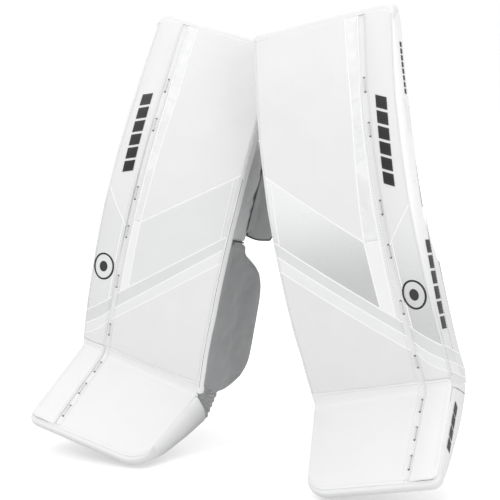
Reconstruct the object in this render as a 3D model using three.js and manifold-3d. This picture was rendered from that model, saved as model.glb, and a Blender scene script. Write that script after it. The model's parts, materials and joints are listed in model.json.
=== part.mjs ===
// Pair of ice-hockey goalie leg pads, standing on their toes with the tops leaning together.
// Millimetres, +Z up, fronts towards -Y. The origin is on the floor, under the centre of the pair.
//
// Each pad is laid out in its own frame and then placed: x towards the outer side of the leg,
// y towards the leg (backwards), z up the shin. Its origin is on the ankle fold, mid-face.
// The boot has coordinates (x, t, n): t runs from the fold to the toe, n is the depth behind
// the boot's face.
import * as THREE from 'three';
import { mergeVertices } from 'three/addons/utils/BufferGeometryUtils.js';
import Module from 'manifold-3d';

const wasm = await Module();
wasm.setup();

const { degToRad } = THREE.MathUtils;

// ---------------------------------------------------------------- driving dimensions
const FACE_CURVE_2 = 0.345e-3;     // face profile y = C2 z^2 + C3 z^3
const FACE_CURVE_3 = 0.109e-6;
const BOOT_ANGLE = 61.65;          // degrees the boot swings forward of the shin line
const FOLD_SLOPE = 0.0688;         // the ankle fold rises towards the outer side
const SHIN_CUT = 26;               // degrees below the horizontal: end plane of the shin
const BOOT_CUT = 35;               // degrees below the horizontal: end plane of the boot
const FOLD_GAP = 1.2;              // from the fold to the end of either part
const HALF_WIDTH = 134;            // seam to seam half width at the ankle

const GAP = 0.35;                  // clearance between neighbouring layers
const SKIN = 3;                    // skin and its backing foam
const CORE_BACK = 17;              // face core, back surface
const PLATE_FRONT = CORE_BACK + GAP;
const PLATE_BACK = PLATE_FRONT + 2;
const BODY_BACK = 25;              // back of the foam sandwich
const CHANNEL_FRONT = BODY_BACK + 0.8; // front of the pieces behind the sandwich
const FACE_INSET = 3.6;            // face layers, from the medial side
const CORE_OUTER_X = 132.5;        // outer side of the foam layers
const CORE_TOP_DROP = 0.5;
const PLATE_INSET = { medial: 6, ends: 8 };
const PLATE_OUTER_X = 126;

const LACE_GROOVE = 5;             // half width of the lacing groove
const LACE = { halfWidth: 2.2, front: 0.4, back: 2.6 };
const ROLL_SPLIT_GAP = 0.2;        // each side of the seam between the roll panels

const KNEE_BLOCK_BACK = 92;
const CALF_GUSSET_BACK = 72;
const CALF_WING_THICK = 14;
const KNEE_WING_THICK = 12;
const OUTER_HINGE_X = HALF_WIDTH - 2;
const OUTER_WRAP = 38;             // degrees the outer wings wrap round the leg
const STRAP_THICK = 3;
const STRAP_WIDTH = 50;

const BOOT_BACK = 22;              // back of the boot's core and toe edge
const BOOT_CHANNEL_FRONT = BOOT_BACK + 0.4;
const BOOT_INSET = 0.4;            // boot pieces, from the medial side
const GUSSET_INSIDE = 8.4;         // inner face of the boot gussets, from each side
const GUSSET_TOE = { t: 176, back: 18 };
const TOE_SEAM_GAP = 0.4;
const TOE_EDGE = 8;                // reach of the toe edge beyond the toe seam
const TOE_CORNER = 3;              // the same at its two ends

const SHIN_STEPS = 14;             // steps along the curved face
const BOOT_STEPS = 5;
const STRAP_STEPS = 12;
const SOLVE_PASSES = 4;            // passes to settle a point whose limits depend on its place

// Rotations in degrees about the x (pitch), y (roll) and z (yaw) axes.
const PLACES = {
  right: {
    mirror: -1, position: [-266.076, -38.708, 150.936], pitch: 6.34, roll: 11.22, yaw: -0.58,
  },
  left: {
    mirror: 1, position: [250.124, -38.708, 167.436], pitch: 13.18, roll: -11.67, yaw: 7.54,
  },
};

// ---------------------------------------------------------------- materials
const finish = (color, { roughness }) => new THREE.MeshStandardMaterial({ color, roughness });
const MAT = {
  skin: finish(0xf3f3f2, { roughness: 0.42 }),
  gloss: finish(0xeceeee, { roughness: 0.22 }),
  edge: finish(0xe4e5e6, { roughness: 0.5 }),
  side: finish(0xeaeaea, { roughness: 0.5 }),
  wing: finish(0x8f9091, { roughness: 0.7 }),
  foam: finish(0xd9d9d2, { roughness: 0.9 }),
  foamDark: finish(0x5a5c60, { roughness: 0.9 }),
  plate: finish(0x2c2e31, { roughness: 0.45 }),
  liner: finish(0xb9bbbd, { roughness: 0.95 }),
  strap: finish(0x202124, { roughness: 0.85 }),
  hard: finish(0x1b1c1e, { roughness: 0.4 }),
  lace: finish(0xffffff, { roughness: 0.8 }),
};

// ---------------------------------------------------------------- number helpers
const mix = (a, b, part) => a + (b - a) * part;
const clamp01 = (value) => Math.min(1, Math.max(0, value));
// A size given either as a number or as a function of the place.
const at = (size, ...place) => (typeof size === 'function' ? size(...place) : size);

// Straight-line interpolation in rows of [position, value], held level beyond both ends.
const table = (rows) => (position) => {
  if (position <= rows[0][0]) return rows[0][1];
  for (let i = 1; i < rows.length; i++) {
    const [start, from] = rows[i - 1];
    const [end, to] = rows[i];
    if (position <= end) return mix(from, to, (position - start) / (end - start));
  }
  return rows[rows.length - 1][1];
};

// ---------------------------------------------------------------- curves of the shin
const faceY = (z) => {
  const height = Math.max(z, 0);
  return FACE_CURVE_2 * height ** 2 + FACE_CURVE_3 * height ** 3;
};

// Rows of [z, x]: the medial side, the lacing line and the ridge of the outer roll.
const medialX = table([
  [0, -134], [80, -135], [150, -138], [350, -140.5], [480, -138], [600, -132.5], [650, -130],
]);
const laceX = table([
  [0, 79.8], [70, 78.5], [150, 76], [250, 73.8], [320, 72.6], [450, 71.8], [545, 72.4],
  [650, 77.8],
]);
const ridgeX = table([
  [0, 134], [100, 133.5], [200, 130.5], [300, 128.5], [343, 127], [500, 127], [560, 129],
  [600, 131.5], [650, 133],
]);
// Rows of [z, height of the roll in front of the face].
const rollRise = table([
  [0, 1], [90, 2], [180, 5], [300, 10], [400, 8], [500, 5], [600, 2], [650, 1],
]);
// Rows of [height above the gusset's low end when v is scaled to 300, back depth].
const calfGussetBack = table([
  [0, 60], [10, CALF_GUSSET_BACK], [210, CALF_GUSSET_BACK], [300, 34],
]);

const faceInX = (z) => medialX(z) + FACE_INSET;
const rollInX = (z) => laceX(z) + LACE_GROOVE;

// Top line of the shin, rising outwards to a rounded outer corner.
const TOP_CORNER = { x: 120, radius: 14 };
const topZ = (x) => {
  const z = 642 + 8 * clamp01((x + 130) / 200);
  if (x <= TOP_CORNER.x) return z;
  const { radius } = TOP_CORNER;
  return z - radius + Math.sqrt(Math.max(0, radius ** 2 - (x - TOP_CORNER.x) ** 2));
};

// Diagonal seam between the two roll panels.
const rollSplitZ = (x) => 279 + (x - 82.7) * 1.32;

// Bottom of the shin at depth y behind the face.
const shinEnd = (x, y) => (
  FOLD_SLOPE * x - Math.max(y, 0) * Math.tan(degToRad(SHIN_CUT)) + FOLD_GAP
);

// Front of the roll: a crown up to the ridge, then a fall to the outer side.
const rollFront = (x, z) => {
  const rise = rollRise(z);
  const ridge = ridgeX(z);
  if (x > ridge) {
    const past = (x - ridge) / Math.max(1, HALF_WIDTH - ridge);
    return -rise + (0.9 * rise + 3) * past ** 2;
  }
  const inside = rollInX(z);
  const across = clamp01((x - inside) / (ridge - inside));
  return -(rise * (0.35 + 0.65 * across) + 2.5 * Math.sin(Math.PI * across));
};

// ---------------------------------------------------------------- curves of the boot
const bootCos = Math.cos(degToRad(BOOT_ANGLE));
const bootSin = Math.sin(degToRad(BOOT_ANGLE));
const bootPoint = (x, t, n) => [
  x,
  -t * bootSin + n * bootCos,
  FOLD_SLOPE * x - t * bootCos - n * bootSin,
];

// Smallest t of the boot at depth n.
const bootEnd = (n) => Math.max(n, 0) * Math.tan(degToRad(BOOT_CUT - BOOT_ANGLE)) + FOLD_GAP;

// Rows of [t, x].
const bootLaceX = table([[0, 79.8], [46, 77.5], [103, 75.2], [162, 72.6], [190, 71.4]]);
const bootRollInX = (t) => bootLaceX(t) + LACE_GROOVE;
const bootMedialX = (t) => -HALF_WIDTH + 0.092 * t;
const bootOuterX = (t) => HALF_WIDTH - 0.021 * t;

// The t of the seam between the boot face and the toe edge.
const toeSeam = (x) => 181 + 0.0364 * (x + 117);

const bootRollFront = (x, t) => {
  const inside = bootRollInX(t);
  const across = clamp01((x - inside) / (bootOuterX(t) - inside));
  return -(1.5 + 2.5 * Math.sin(Math.PI * (0.15 + 0.7 * across)));
};

// ---------------------------------------------------------------- geometry helpers
function moveVertices(geometry, place) {
  const points = geometry.attributes.position;
  for (let i = 0; i < points.count; i++) {
    points.setXYZ(i, ...place(points.getX(i), points.getY(i), points.getZ(i)));
  }
  return geometry;
}

// A box divided into steps, each vertex moved to place(u, v, w) with u, v, w running 0..1.
function shaped(uSteps, vSteps, wSteps, place) {
  const box = new THREE.BoxGeometry(1, 1, 1, uSteps, vSteps, wSteps);
  return moveVertices(box, (x, y, z) => place(x + 0.5, y + 0.5, z + 0.5));
}

// A flat outline, with an optional hole, extruded and then moved vertex by vertex.
function panel(outline, thickness, place, hole) {
  const toVectors = (rows) => rows.map((row) => new THREE.Vector2(...row));
  const shape = new THREE.Shape(toVectors(outline));
  if (hole) shape.holes.push(new THREE.Path(toVectors(hole)));
  const options = { depth: thickness, bevelEnabled: false };
  return moveVertices(new THREE.ExtrudeGeometry(shape, options), place);
}

// Merge shared corners, mirror if asked, and make the faces point outwards.
function finishGeometry(geometry, mirror) {
  geometry.deleteAttribute('normal');
  geometry.deleteAttribute('uv');
  const merged = mergeVertices(geometry, 1e-3);
  moveVertices(merged, (x, y, z) => [x * mirror, y, z]);

  const points = merged.attributes.position;
  const index = merged.index.array;
  const corners = [new THREE.Vector3(), new THREE.Vector3(), new THREE.Vector3()];
  let volume = 0;
  for (let i = 0; i < index.length; i += 3) {
    corners.forEach((corner, k) => corner.fromBufferAttribute(points, index[i + k]));
    volume += corners[0].dot(corners[1].cross(corners[2]));
  }
  if (volume < 0) {
    for (let i = 0; i < index.length; i += 3) {
      [index[i], index[i + 1]] = [index[i + 1], index[i]];
    }
  }
  merged.computeVertexNormals();
  return merged;
}

function toSolid(geometry) {
  const closed = finishGeometry(geometry, 1);
  return new wasm.Manifold(new wasm.Mesh({
    numProp: 3,
    vertProperties: new Float32Array(closed.attributes.position.array),
    triVerts: new Uint32Array(closed.index.array),
  }));
}

function fromSolid(solid) {
  const mesh = solid.getMesh();
  const points = new Float32Array(mesh.vertProperties);
  const geometry = new THREE.BufferGeometry();
  geometry.setAttribute('position', new THREE.BufferAttribute(points, 3));
  geometry.setIndex(new THREE.BufferAttribute(new Uint32Array(mesh.triVerts), 1));
  return geometry;
}

// ---------------------------------------------------------------- shin, knee and thigh
// A layer between two x curves and two depths behind the face.
function shinLayer({
  medial, outer, front, back, across, along = SHIN_STEPS, bottom = shinEnd, top = topZ,
}) {
  return shaped(across, along, 1, (u, v, w) => {
    const xAt = (z) => mix(at(medial, z), at(outer, z), u);
    const depth = w < 0.5 ? front : back;
    let z = 300;
    let x = xAt(z);
    for (let pass = 0; pass < SOLVE_PASSES; pass++) {
      z = mix(at(bottom, x, at(depth, x, z)), at(top, x), v);
      x = xAt(z);
    }
    return [x, faceY(z) + at(depth, x, z), z];
  });
}

const foamLayer = (front, back) => shinLayer({
  medial: faceInX, outer: CORE_OUTER_X, front, back, across: 5,
  top: (x) => topZ(x) - CORE_TOP_DROP,
});

const rollPanel = (limits) => shinLayer({
  medial: rollInX, outer: HALF_WIDTH - 0.4, front: rollFront, back: SKIN, across: 5, ...limits,
});

// Each piece is listed as name: [material, function that builds its geometry].
const SHIN_PIECES = {
  face_cover: [MAT.skin, () => shinLayer({
    medial: faceInX, outer: (z) => laceX(z) - LACE_GROOVE, front: 0, back: SKIN, across: 3,
  })],
  face_core: [MAT.foam, () => foamLayer(SKIN + GAP, CORE_BACK)],
  stiffener_plate: [MAT.plate, () => shinLayer({
    medial: (z) => faceInX(z) + PLATE_INSET.medial, outer: PLATE_OUTER_X,
    front: PLATE_FRONT, back: PLATE_BACK, across: 3,
    bottom: (x, y) => shinEnd(x, y) + PLATE_INSET.ends,
    top: (x) => topZ(x) - PLATE_INSET.ends,
  })],
  rear_foam: [MAT.foamDark, () => foamLayer(PLATE_BACK + GAP, BODY_BACK)],
  medial_edge_strip: [MAT.edge, () => shinLayer({
    medial: medialX, outer: (z) => medialX(z) + 3.2, front: 0.5, back: BODY_BACK, across: 1,
  })],

  // the raised roll along the outer side, and the lacing in the groove beside it
  outer_roll_upper: [MAT.skin, () => rollPanel({
    along: 9, bottom: (x) => rollSplitZ(x) + ROLL_SPLIT_GAP,
  })],
  outer_roll_lower: [MAT.gloss, () => rollPanel({
    along: 8, top: (x) => rollSplitZ(x) - ROLL_SPLIT_GAP,
    bottom: (x, y) => shinEnd(x, y) + (y < 0 ? 3.5 : 0),
  })],
  roll_lace: [MAT.lace, () => shinLayer({
    medial: (z) => laceX(z) - LACE.halfWidth, outer: (z) => laceX(z) + LACE.halfWidth,
    front: LACE.front, back: LACE.back, across: 1, along: 12, bottom: 34, top: 606,
  })],

  outer_side_wall: [MAT.side, () => shinLayer({
    medial: HALF_WIDTH, outer: HALF_WIDTH + 3.2,
    front: (x, z) => -0.4 * rollRise(z) + 2, back: 38, across: 1, top: 641,
  })],
  // deeper block behind the sandwich, beside the calf
  calf_gusset: [MAT.side, () => shaped(1, 8, 1, (u, v, w) => {
    const x = HALF_WIDTH - 20 + 19.4 * u;
    const y = w < 0.5 ? CHANNEL_FRONT : calfGussetBack(v * 300);
    const z = mix(Math.max(shinEnd(x, y), -26), 296, v);
    return [x, faceY(z) + y, z];
  })],
};

// ---------------------------------------------------------------- leg channel
// A pad hollowed across its back; edge and middle are depths behind the sandwich.
const cradle = ({ x: [x0, x1], z: [z0, z1], edge, middle }) => shaped(6, 7, 1, (u, v, w) => {
  const z = mix(z0, z1, v);
  const back = BODY_BACK + mix(middle, edge, (2 * u - 1) ** 2);
  return [mix(x0, x1, u), faceY(z) + (w < 0.5 ? CHANNEL_FRONT : back), z];
});

// The block on the medial side of the knee: lower and slightly narrower at its back.
const KNEE_BLOCK = { inset: 1, width: 42, backNarrowing: 3, bottom: 292, backDrop: 22, top: 452 };
const kneeBlock = () => shaped(3, 7, 2, (u, v, w) => {
  const z = mix(KNEE_BLOCK.bottom - KNEE_BLOCK.backDrop * w, KNEE_BLOCK.top, v);
  const width = KNEE_BLOCK.width - KNEE_BLOCK.backNarrowing * w;
  const y = CHANNEL_FRONT + (KNEE_BLOCK_BACK - BODY_BACK) * w;
  return [medialX(z) + KNEE_BLOCK.inset + width * u, faceY(z) + y, z];
});

const CHANNEL_PIECES = {
  calf_cradle: [MAT.liner, () => cradle({ x: [-116, 112], z: [12, 262], edge: 34, middle: 12 })],
  knee_cradle: [MAT.liner, () => cradle({ x: [-92, 96], z: [276, 448], edge: 40, middle: 16 })],
  thigh_pad: [MAT.liner, () => cradle({ x: [-120, 118], z: [462, 628], edge: 16, middle: 10 })],
  knee_block: [MAT.wing, kneeBlock],
};

// ---------------------------------------------------------------- wings
// Outlines in rows of [distance from the front edge, z].
const MEDIAL_CALF_OUTLINE = [
  [0, -3], [18, -17], [41, -29], [75, -27], [105, -19], [122, -4], [131, 14], [135, 71],
  [136, 110], [136, 145], [129, 172], [116, 194], [96, 214], [70, 233], [44, 250], [47, 258],
  [45, 266], [36, 273], [0, 288], [0, 200], [0, 100],
];
const OUTER_CALF_OUTLINE = [
  [0, 8], [46, 2], [78, 12], [92, 44], [94, 128], [84, 168], [54, 196], [0, 206],
];
const MEDIAL_KNEE_OUTLINE = [
  [0, 289], [40, 273], [88, 262], [100, 276], [104, 330], [100, 392], [84, 428], [50, 444],
  [0, 446], [0, 394], [0, 340],
];
const OUTER_KNEE_OUTLINE = [
  [0, 312], [60, 300], [104, 304], [118, 324], [120, 400], [104, 436], [60, 452], [0, 456],
  [0, 408], [0, 360],
];

// A flat wing running back from its front edge at (x, depth), turned towards the medial side
// by angle degrees. Its thickness builds towards the leg.
function wing(outline, thickness, { x, depth, angle }) {
  const cos = Math.cos(degToRad(angle));
  const sin = Math.sin(degToRad(angle));
  const inward = -Math.sign(x);
  return panel(outline, thickness, (reach, z, layer) => [
    x - sin * reach + inward * cos * layer,
    faceY(z) + depth + cos * reach + inward * sin * layer,
    z,
  ]);
}

const WING_PIECES = {
  medial_calf_wing: [MAT.wing, () => wing(MEDIAL_CALF_OUTLINE, CALF_WING_THICK, {
    x: -137.5, depth: BODY_BACK + 5, angle: 4,
  })],
  outer_calf_wing: [MAT.wing, () => wing(OUTER_CALF_OUTLINE, CALF_WING_THICK, {
    x: OUTER_HINGE_X, depth: CALF_GUSSET_BACK + 12, angle: OUTER_WRAP,
  })],
  medial_knee_wing: [MAT.wing, () => wing(MEDIAL_KNEE_OUTLINE, KNEE_WING_THICK, {
    x: -136, depth: KNEE_BLOCK_BACK + 4, angle: 6,
  })],
  outer_knee_wing: [MAT.wing, () => wing(OUTER_KNEE_OUTLINE, KNEE_WING_THICK, {
    x: OUTER_HINGE_X, depth: 46, angle: OUTER_WRAP,
  })],
};

// ---------------------------------------------------------------- straps
// A band curved round the back of the leg channel; path holds four Bezier points [x, y].
function strap(bottom, path) {
  const curve = new THREE.CubicBezierCurve(...path.map((point) => new THREE.Vector2(...point)));
  return shaped(STRAP_STEPS, 1, 1, (u, v, w) => {
    const centre = curve.getPoint(u);
    const tangent = curve.getTangent(u);
    const offset = (w - 0.5) * STRAP_THICK;
    return [
      centre.x - tangent.y * offset,
      centre.y + tangent.x * offset,
      bottom + STRAP_WIDTH * v,
    ];
  });
}

const STRAP_PIECES = {
  calf_strap: [MAT.strap, () => strap(78, [[68, 168], [30, 206], [-80, 214], [-128, 180]])],
  knee_strap: [MAT.strap, () => strap(336, [[52, 208], [20, 262], [-80, 292], [-128, 272]])],
};

// ---------------------------------------------------------------- boot
// A layer between two x curves and two depths behind the boot's face.
function bootLayer({ medial, outer, front, back, across, start = bootEnd, end = toeSeam }) {
  return shaped(across, BOOT_STEPS, 1, (u, v, w) => {
    const xAt = (t) => mix(medial(t), outer(t), u);
    const depth = w < 0.5 ? front : back;
    let t = 90;
    let n = 0;
    for (let pass = 0; pass < SOLVE_PASSES; pass++) {
      const x = xAt(t);
      n = at(depth, x, t);
      t = mix(at(start, n), at(end, x), v);
    }
    return bootPoint(xAt(t), t, n);
  });
}

// Wedge-shaped side walls, deep at the heel and thin at the toe.
// Heel rows are depths n on the end plane; back rows are [t, n] from heel to toe.
const MEDIAL_GUSSET = { heel: [62, 80], back: [[-8, 84], [50, 69], [113, 49], [158, 26]] };
const OUTER_GUSSET = { heel: [54, 64], back: [[-6, 66], [60, 55], [130, 36], [168, 24]] };

function bootGusset({ heel, back }, thickness, medialSide) {
  const front = SKIN + GAP;
  const outline = [
    ...[front, ...heel].map((n) => [bootEnd(n), n]),
    ...back,
    [GUSSET_TOE.t, GUSSET_TOE.back],
    [GUSSET_TOE.t, front],
  ];
  return panel(outline, thickness, (t, n, layer) => bootPoint(medialSide(t) + layer, t, n));
}

// The edge piece beyond the toe seam, flat across its end and cut back at both corners.
const TOE_STATIONS = [-115, -104, 118, 129];
const toeEdge = () => shaped(3, 1, 1, (u, v, w) => {
  const station = Math.round(u * 3);
  const x = TOE_STATIONS[station];
  const reach = station === 0 || station === 3 ? TOE_CORNER : TOE_EDGE;
  return bootPoint(x, toeSeam(x) + (v < 0.5 ? TOE_SEAM_GAP : reach), mix(0.5, BOOT_BACK, w));
});

// Channel lining, hollowed across its back and shallower at the sides towards the toe.
const bootLiner = () => shaped(6, 4, 1, (u, v, w) => {
  const thickness = 7 + 20 * (2 * u - 1) ** 2 * (1 - 0.4 * v);
  return bootPoint(-112 + 228 * u, -8 + 116 * v, BOOT_CHANNEL_FRONT + (w < 0.5 ? 0 : thickness));
});

// A plain block centred across the boot, between two t and two n.
const bootBlock = ({ width, t, n }) => toSolid(shaped(1, 1, 1, (u, v, w) => (
  bootPoint((u - 0.5) * width, mix(...t, v), mix(...n, w))
)));

// A plate under the toe with a pocket sunk into its back.
function toeBridge() {
  const plate = bootBlock({
    width: 92, t: [120, 176], n: [BOOT_CHANNEL_FRONT, BOOT_CHANNEL_FRONT + 9],
  });
  const pocket = bootBlock({ width: 68, t: [134, 152], n: [26, 38] });
  return fromSolid(plate.subtract(pocket));
}

// A rectangular ring standing on the toe bridge; outlines in [t before scaling, n] about centre.
const SLIDER = { t: 143, n: 40, thickness: 4, tScale: 0.8 };
const SLIDER_OUTLINE = [[-9, -12], [9, -12], [9, 12], [-9, 12]];
const SLIDER_HOLE = [[-5, -7], [-5, 8], [5, 8], [5, -7]];
const toeSlider = () => panel(SLIDER_OUTLINE, SLIDER.thickness, (a, b, layer) => (
  bootPoint(layer - SLIDER.thickness / 2, SLIDER.t + a * SLIDER.tScale, SLIDER.n + b)
), SLIDER_HOLE);

const BOOT_PIECES = {
  boot_cover: [MAT.skin, () => bootLayer({
    medial: (t) => bootMedialX(t) + BOOT_INSET, outer: (t) => bootLaceX(t) - LACE_GROOVE,
    front: 0, back: SKIN, across: 4,
  })],
  boot_roll: [MAT.skin, () => bootLayer({
    medial: bootRollInX, outer: bootOuterX, front: bootRollFront, back: SKIN, across: 4,
    start: (n) => bootEnd(n) + (n < 0 ? 6 : 0),
  })],
  boot_lace: [MAT.lace, () => bootLayer({
    medial: (t) => bootLaceX(t) - LACE.halfWidth, outer: (t) => bootLaceX(t) + LACE.halfWidth,
    front: LACE.front, back: LACE.back, across: 1, start: 14, end: 172,
  })],
  boot_core: [MAT.foam, () => bootLayer({
    medial: (t) => bootMedialX(t) + GUSSET_INSIDE + 0.4,
    outer: (t) => bootOuterX(t) - GUSSET_INSIDE - 0.4,
    front: SKIN + GAP, back: BOOT_BACK, across: 4,
  })],
  boot_medial_gusset: [MAT.side, () => bootGusset(
    MEDIAL_GUSSET, GUSSET_INSIDE - BOOT_INSET, (t) => bootMedialX(t) + BOOT_INSET,
  )],
  boot_outer_gusset: [MAT.side, () => bootGusset(
    OUTER_GUSSET, GUSSET_INSIDE, (t) => bootOuterX(t) - GUSSET_INSIDE,
  )],
  toe_edge: [MAT.edge, toeEdge],
  boot_liner: [MAT.liner, bootLiner],
  toe_bridge: [MAT.hard, toeBridge],
  toe_slider: [MAT.hard, toeSlider],
};

// ---------------------------------------------------------------- the pair
const PIECES = {
  ...SHIN_PIECES, ...CHANNEL_PIECES, ...WING_PIECES, ...STRAP_PIECES, ...BOOT_PIECES,
};

function buildPad(side) {
  const { mirror, position, pitch, roll, yaw } = PLACES[side];
  const pad = new THREE.Group();
  pad.rotation.set(degToRad(pitch), degToRad(roll), degToRad(yaw), 'ZXY');
  pad.position.set(...position);
  for (const [name, [material, build]] of Object.entries(PIECES)) {
    const mesh = new THREE.Mesh(finishGeometry(build(), mirror), material);
    mesh.name = `${side}_${name}`;
    pad.add(mesh);
  }
  return pad;
}

const group = new THREE.Group();
group.add(buildPad('right'), buildPad('left'));
export default group;
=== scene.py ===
# A pair of leg pads standing on a floor. Each pad is a long shin part and a short boot part that
# meet at an ankle fold, with a lacing channel, an outer roll, side walls, soft wings and straps.
#
# A pad is built in its own frame, in millimetres: x towards the outer side of the leg, y from the
# front face towards the leg, z up the shin, origin on the ankle fold at the middle of the face.
# The right pad is the mirror of the left one. world() sets a pad in the scene, in metres.
# The boot has its own coordinates: x, "down" along its face from the fold, "depth" behind it.
import bpy
import json
import numpy as np
from math import cos, pi, radians, sin, tan
from mathutils import Matrix, Vector

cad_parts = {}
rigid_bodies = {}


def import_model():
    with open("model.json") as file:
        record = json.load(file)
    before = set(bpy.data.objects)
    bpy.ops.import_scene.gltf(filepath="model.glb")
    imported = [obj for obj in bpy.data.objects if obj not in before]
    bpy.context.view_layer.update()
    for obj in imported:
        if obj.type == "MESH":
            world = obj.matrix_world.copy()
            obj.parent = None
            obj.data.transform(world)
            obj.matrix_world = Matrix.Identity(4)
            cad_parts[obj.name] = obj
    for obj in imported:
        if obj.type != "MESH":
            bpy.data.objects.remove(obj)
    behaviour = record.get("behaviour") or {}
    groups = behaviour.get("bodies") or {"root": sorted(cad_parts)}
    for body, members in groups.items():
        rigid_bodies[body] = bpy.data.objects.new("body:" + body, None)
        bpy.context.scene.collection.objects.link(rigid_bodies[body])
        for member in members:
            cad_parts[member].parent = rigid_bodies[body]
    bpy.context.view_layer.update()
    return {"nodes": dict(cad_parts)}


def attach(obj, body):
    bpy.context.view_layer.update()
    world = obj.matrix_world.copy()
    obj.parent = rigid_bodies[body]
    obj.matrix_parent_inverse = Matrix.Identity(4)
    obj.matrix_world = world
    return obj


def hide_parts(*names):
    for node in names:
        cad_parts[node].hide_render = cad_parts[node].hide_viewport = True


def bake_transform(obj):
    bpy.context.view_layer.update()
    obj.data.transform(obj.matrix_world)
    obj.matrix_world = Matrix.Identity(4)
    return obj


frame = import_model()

SCENE = bpy.context.scene
SIDES = ("right", "left")

# ------------------------------------------------------------------ places of the two pads
PLACES = {  # position in millimetres, angles in degrees
    "right": dict(mirror=-1, position=(-266.076, -38.708, 150.936),
                  pitch=6.34, roll=11.22, yaw=-0.58),
    "left": dict(mirror=1, position=(250.124, -38.708, 167.436),
                 pitch=13.18, roll=-11.67, yaw=7.54),
}


def turn(i, j, degrees):
    """Rotation matrix that turns axis i towards axis j."""
    matrix = np.eye(3)
    matrix[i, i] = matrix[j, j] = cos(radians(degrees))
    matrix[j, i] = sin(radians(degrees))
    matrix[i, j] = -matrix[j, i]
    return matrix


ROTATIONS = {
    side: turn(0, 1, place["yaw"]) @ turn(1, 2, place["pitch"]) @ turn(2, 0, place["roll"])
    for side, place in PLACES.items()
}


def world(side, points):
    """Pad millimetres to scene metres."""
    points = np.array(points, float).reshape(-1, 3)
    points[:, 0] *= PLACES[side]["mirror"]
    return (points @ ROTATIONS[side].T + np.array(PLACES[side]["position"])) * 0.001


# ------------------------------------------------------------------ driving shapes of a pad
FOLD_SLOPE = 0.0688        # rise of the ankle fold across the face
BOOT_ANGLE = radians(61.65)
BOOT_SIN, BOOT_COS = sin(BOOT_ANGLE), cos(BOOT_ANGLE)
ANKLE_GAP = 1.2            # clearance of the walls at the fold
FOLD_SOFTNESS = 13.0       # half length of the rounded corner at the fold
GROOVE = 5.0               # half width of the lacing channel
BODY_BACK = 25.0           # depth of the shin body
TOP_MARGIN = 5.0           # face panels stop this far below the top line
WALL_X = 136.9             # outer side of the shin


def table(rows):
    """Function that interpolates between (station, value) rows."""
    stations, values = zip(*rows)
    return lambda station: np.interp(station, stations, values)


def columns(*parts):
    """Coordinates side by side in a last axis."""
    return np.stack(np.broadcast_arrays(*parts), -1).astype(float)


# (z, x) of the medial edge, the lacing and the crest of the outer roll
medial_x = table([(0, -134), (80, -135), (150, -138), (350, -140.5), (480, -138), (600, -132.5),
                  (650, -130)])
lace_x = table([(0, 79.8), (70, 78.5), (150, 76), (250, 73.8), (320, 72.6), (450, 71.8),
                (545, 72.4), (650, 77.8)])
ridge_x = table([(0, 134), (100, 133.5), (200, 130.5), (300, 128.5), (343, 127), (500, 127),
                 (560, 129), (600, 131.5), (650, 133)])
# (z, rise) of the roll in front of the face
roll_rise = table([(0, 1), (90, 2), (180, 5), (300, 10), (400, 8), (500, 5), (600, 2), (650, 1)])
# (down, x) of the lacing on the boot
boot_lace_x = table([(0, 79.8), (46, 77.5), (103, 75.2), (162, 72.6), (190, 71.4)])
# (z, depth) of the back edge of the outer wall and of the lower gusset
side_depth = table([(-40, 38), (225, 38), (262, 34), (300, 27.5), (340, 28), (375, 31), (429, 36),
                    (506, 39), (600, 40), (614, 38.5), (624, 34), (632, 28), (640, 22), (650, 20)])
gusset_depth = table([(-40, 40), (-32, 46), (-26, 54), (-20, 62), (-12, 70), (-4, 77), (4, 80),
                      (20, 78), (52, 74), (208, 68), (240, 53), (262, 43), (285, 33), (300, 28)])
# (down, depth) of the boot walls
medial_wall_depth = table([(-40, 80), (-10, 82), (50, 68), (113, 48), (160, 25), (178, 21)])
outer_wall_depth = table([(-50, 55), (-20, 56), (0, 58), (30, 58), (60, 55), (130, 36), (168, 24),
                          (188, 20)])


def face_y(z):
    """The backward curve of the face above the fold."""
    height = np.maximum(z, 0)
    return 0.345e-3 * height * height + 0.109e-6 * height * height * height


def boot_outer_x(down):
    return 134 - 0.021 * np.asarray(down, float)


def rim_medial_x(down):
    return -134 + 0.092 * np.asarray(down, float) + 0.8


def rim_outer_x(down):
    return boot_outer_x(down) - 0.6


def toe_seam(x):
    """Distance down the boot to the seam at its toe."""
    return 181 + 0.0364 * (np.asarray(x, float) + 117)


def corner_drop(over, radius):
    """Drop of a quarter circle at a distance past its start."""
    over = np.clip(over, 0, radius)
    return radius - np.sqrt(np.maximum(0, radius * radius - over * over))


def crest_z(x):
    return 642 + 8 * np.clip((np.asarray(x, float) + 130) / 200, 0, 1)


def top_z(x):
    """Top line of the face."""
    return crest_z(x) - corner_drop(x - 120, 14)


def cap_z(x):
    """Crest of the top edge, rounded down over both corners."""
    return crest_z(x) - corner_drop(x - 118.5, 19) - corner_drop(-126 - x, 8)


def shin_end(x, y):
    """Lower end of the shin at depth y."""
    return FOLD_SLOPE * x - np.maximum(y, 0) * tan(radians(26)) + ANKLE_GAP


def boot_edge(depth, degrees):
    """Upper end of the boot below the fold, on a line that falls at the given angle."""
    return np.maximum(depth, 0) * tan(radians(degrees) - BOOT_ANGLE) + ANKLE_GAP


def boot_point(x, down, depth):
    return columns(x, -down * BOOT_SIN + depth * BOOT_COS,
                   FOLD_SLOPE * x - down * BOOT_COS - depth * BOOT_SIN)


def waves(x, z, seed, size):
    """A gentle repeatable unevenness."""
    total = 0
    for i in range(5):
        rate = 2 * pi / (size * (0.6 + 0.37 * i))
        heading = 1.7 * i + seed * 0.9
        phase = rate * (x * cos(heading) + z * sin(heading)) + 2.3 * i + seed
        total = total + np.sin(phase) / (1.3 + i)
    return total / 2.2


# ------------------------------------------------------------------ surfaces
# Each takes two surface coordinates and an offset; a positive offset goes into the pad.
def plain_surface(x, z, offset):
    return columns(x, face_y(z) + offset, z)


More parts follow.
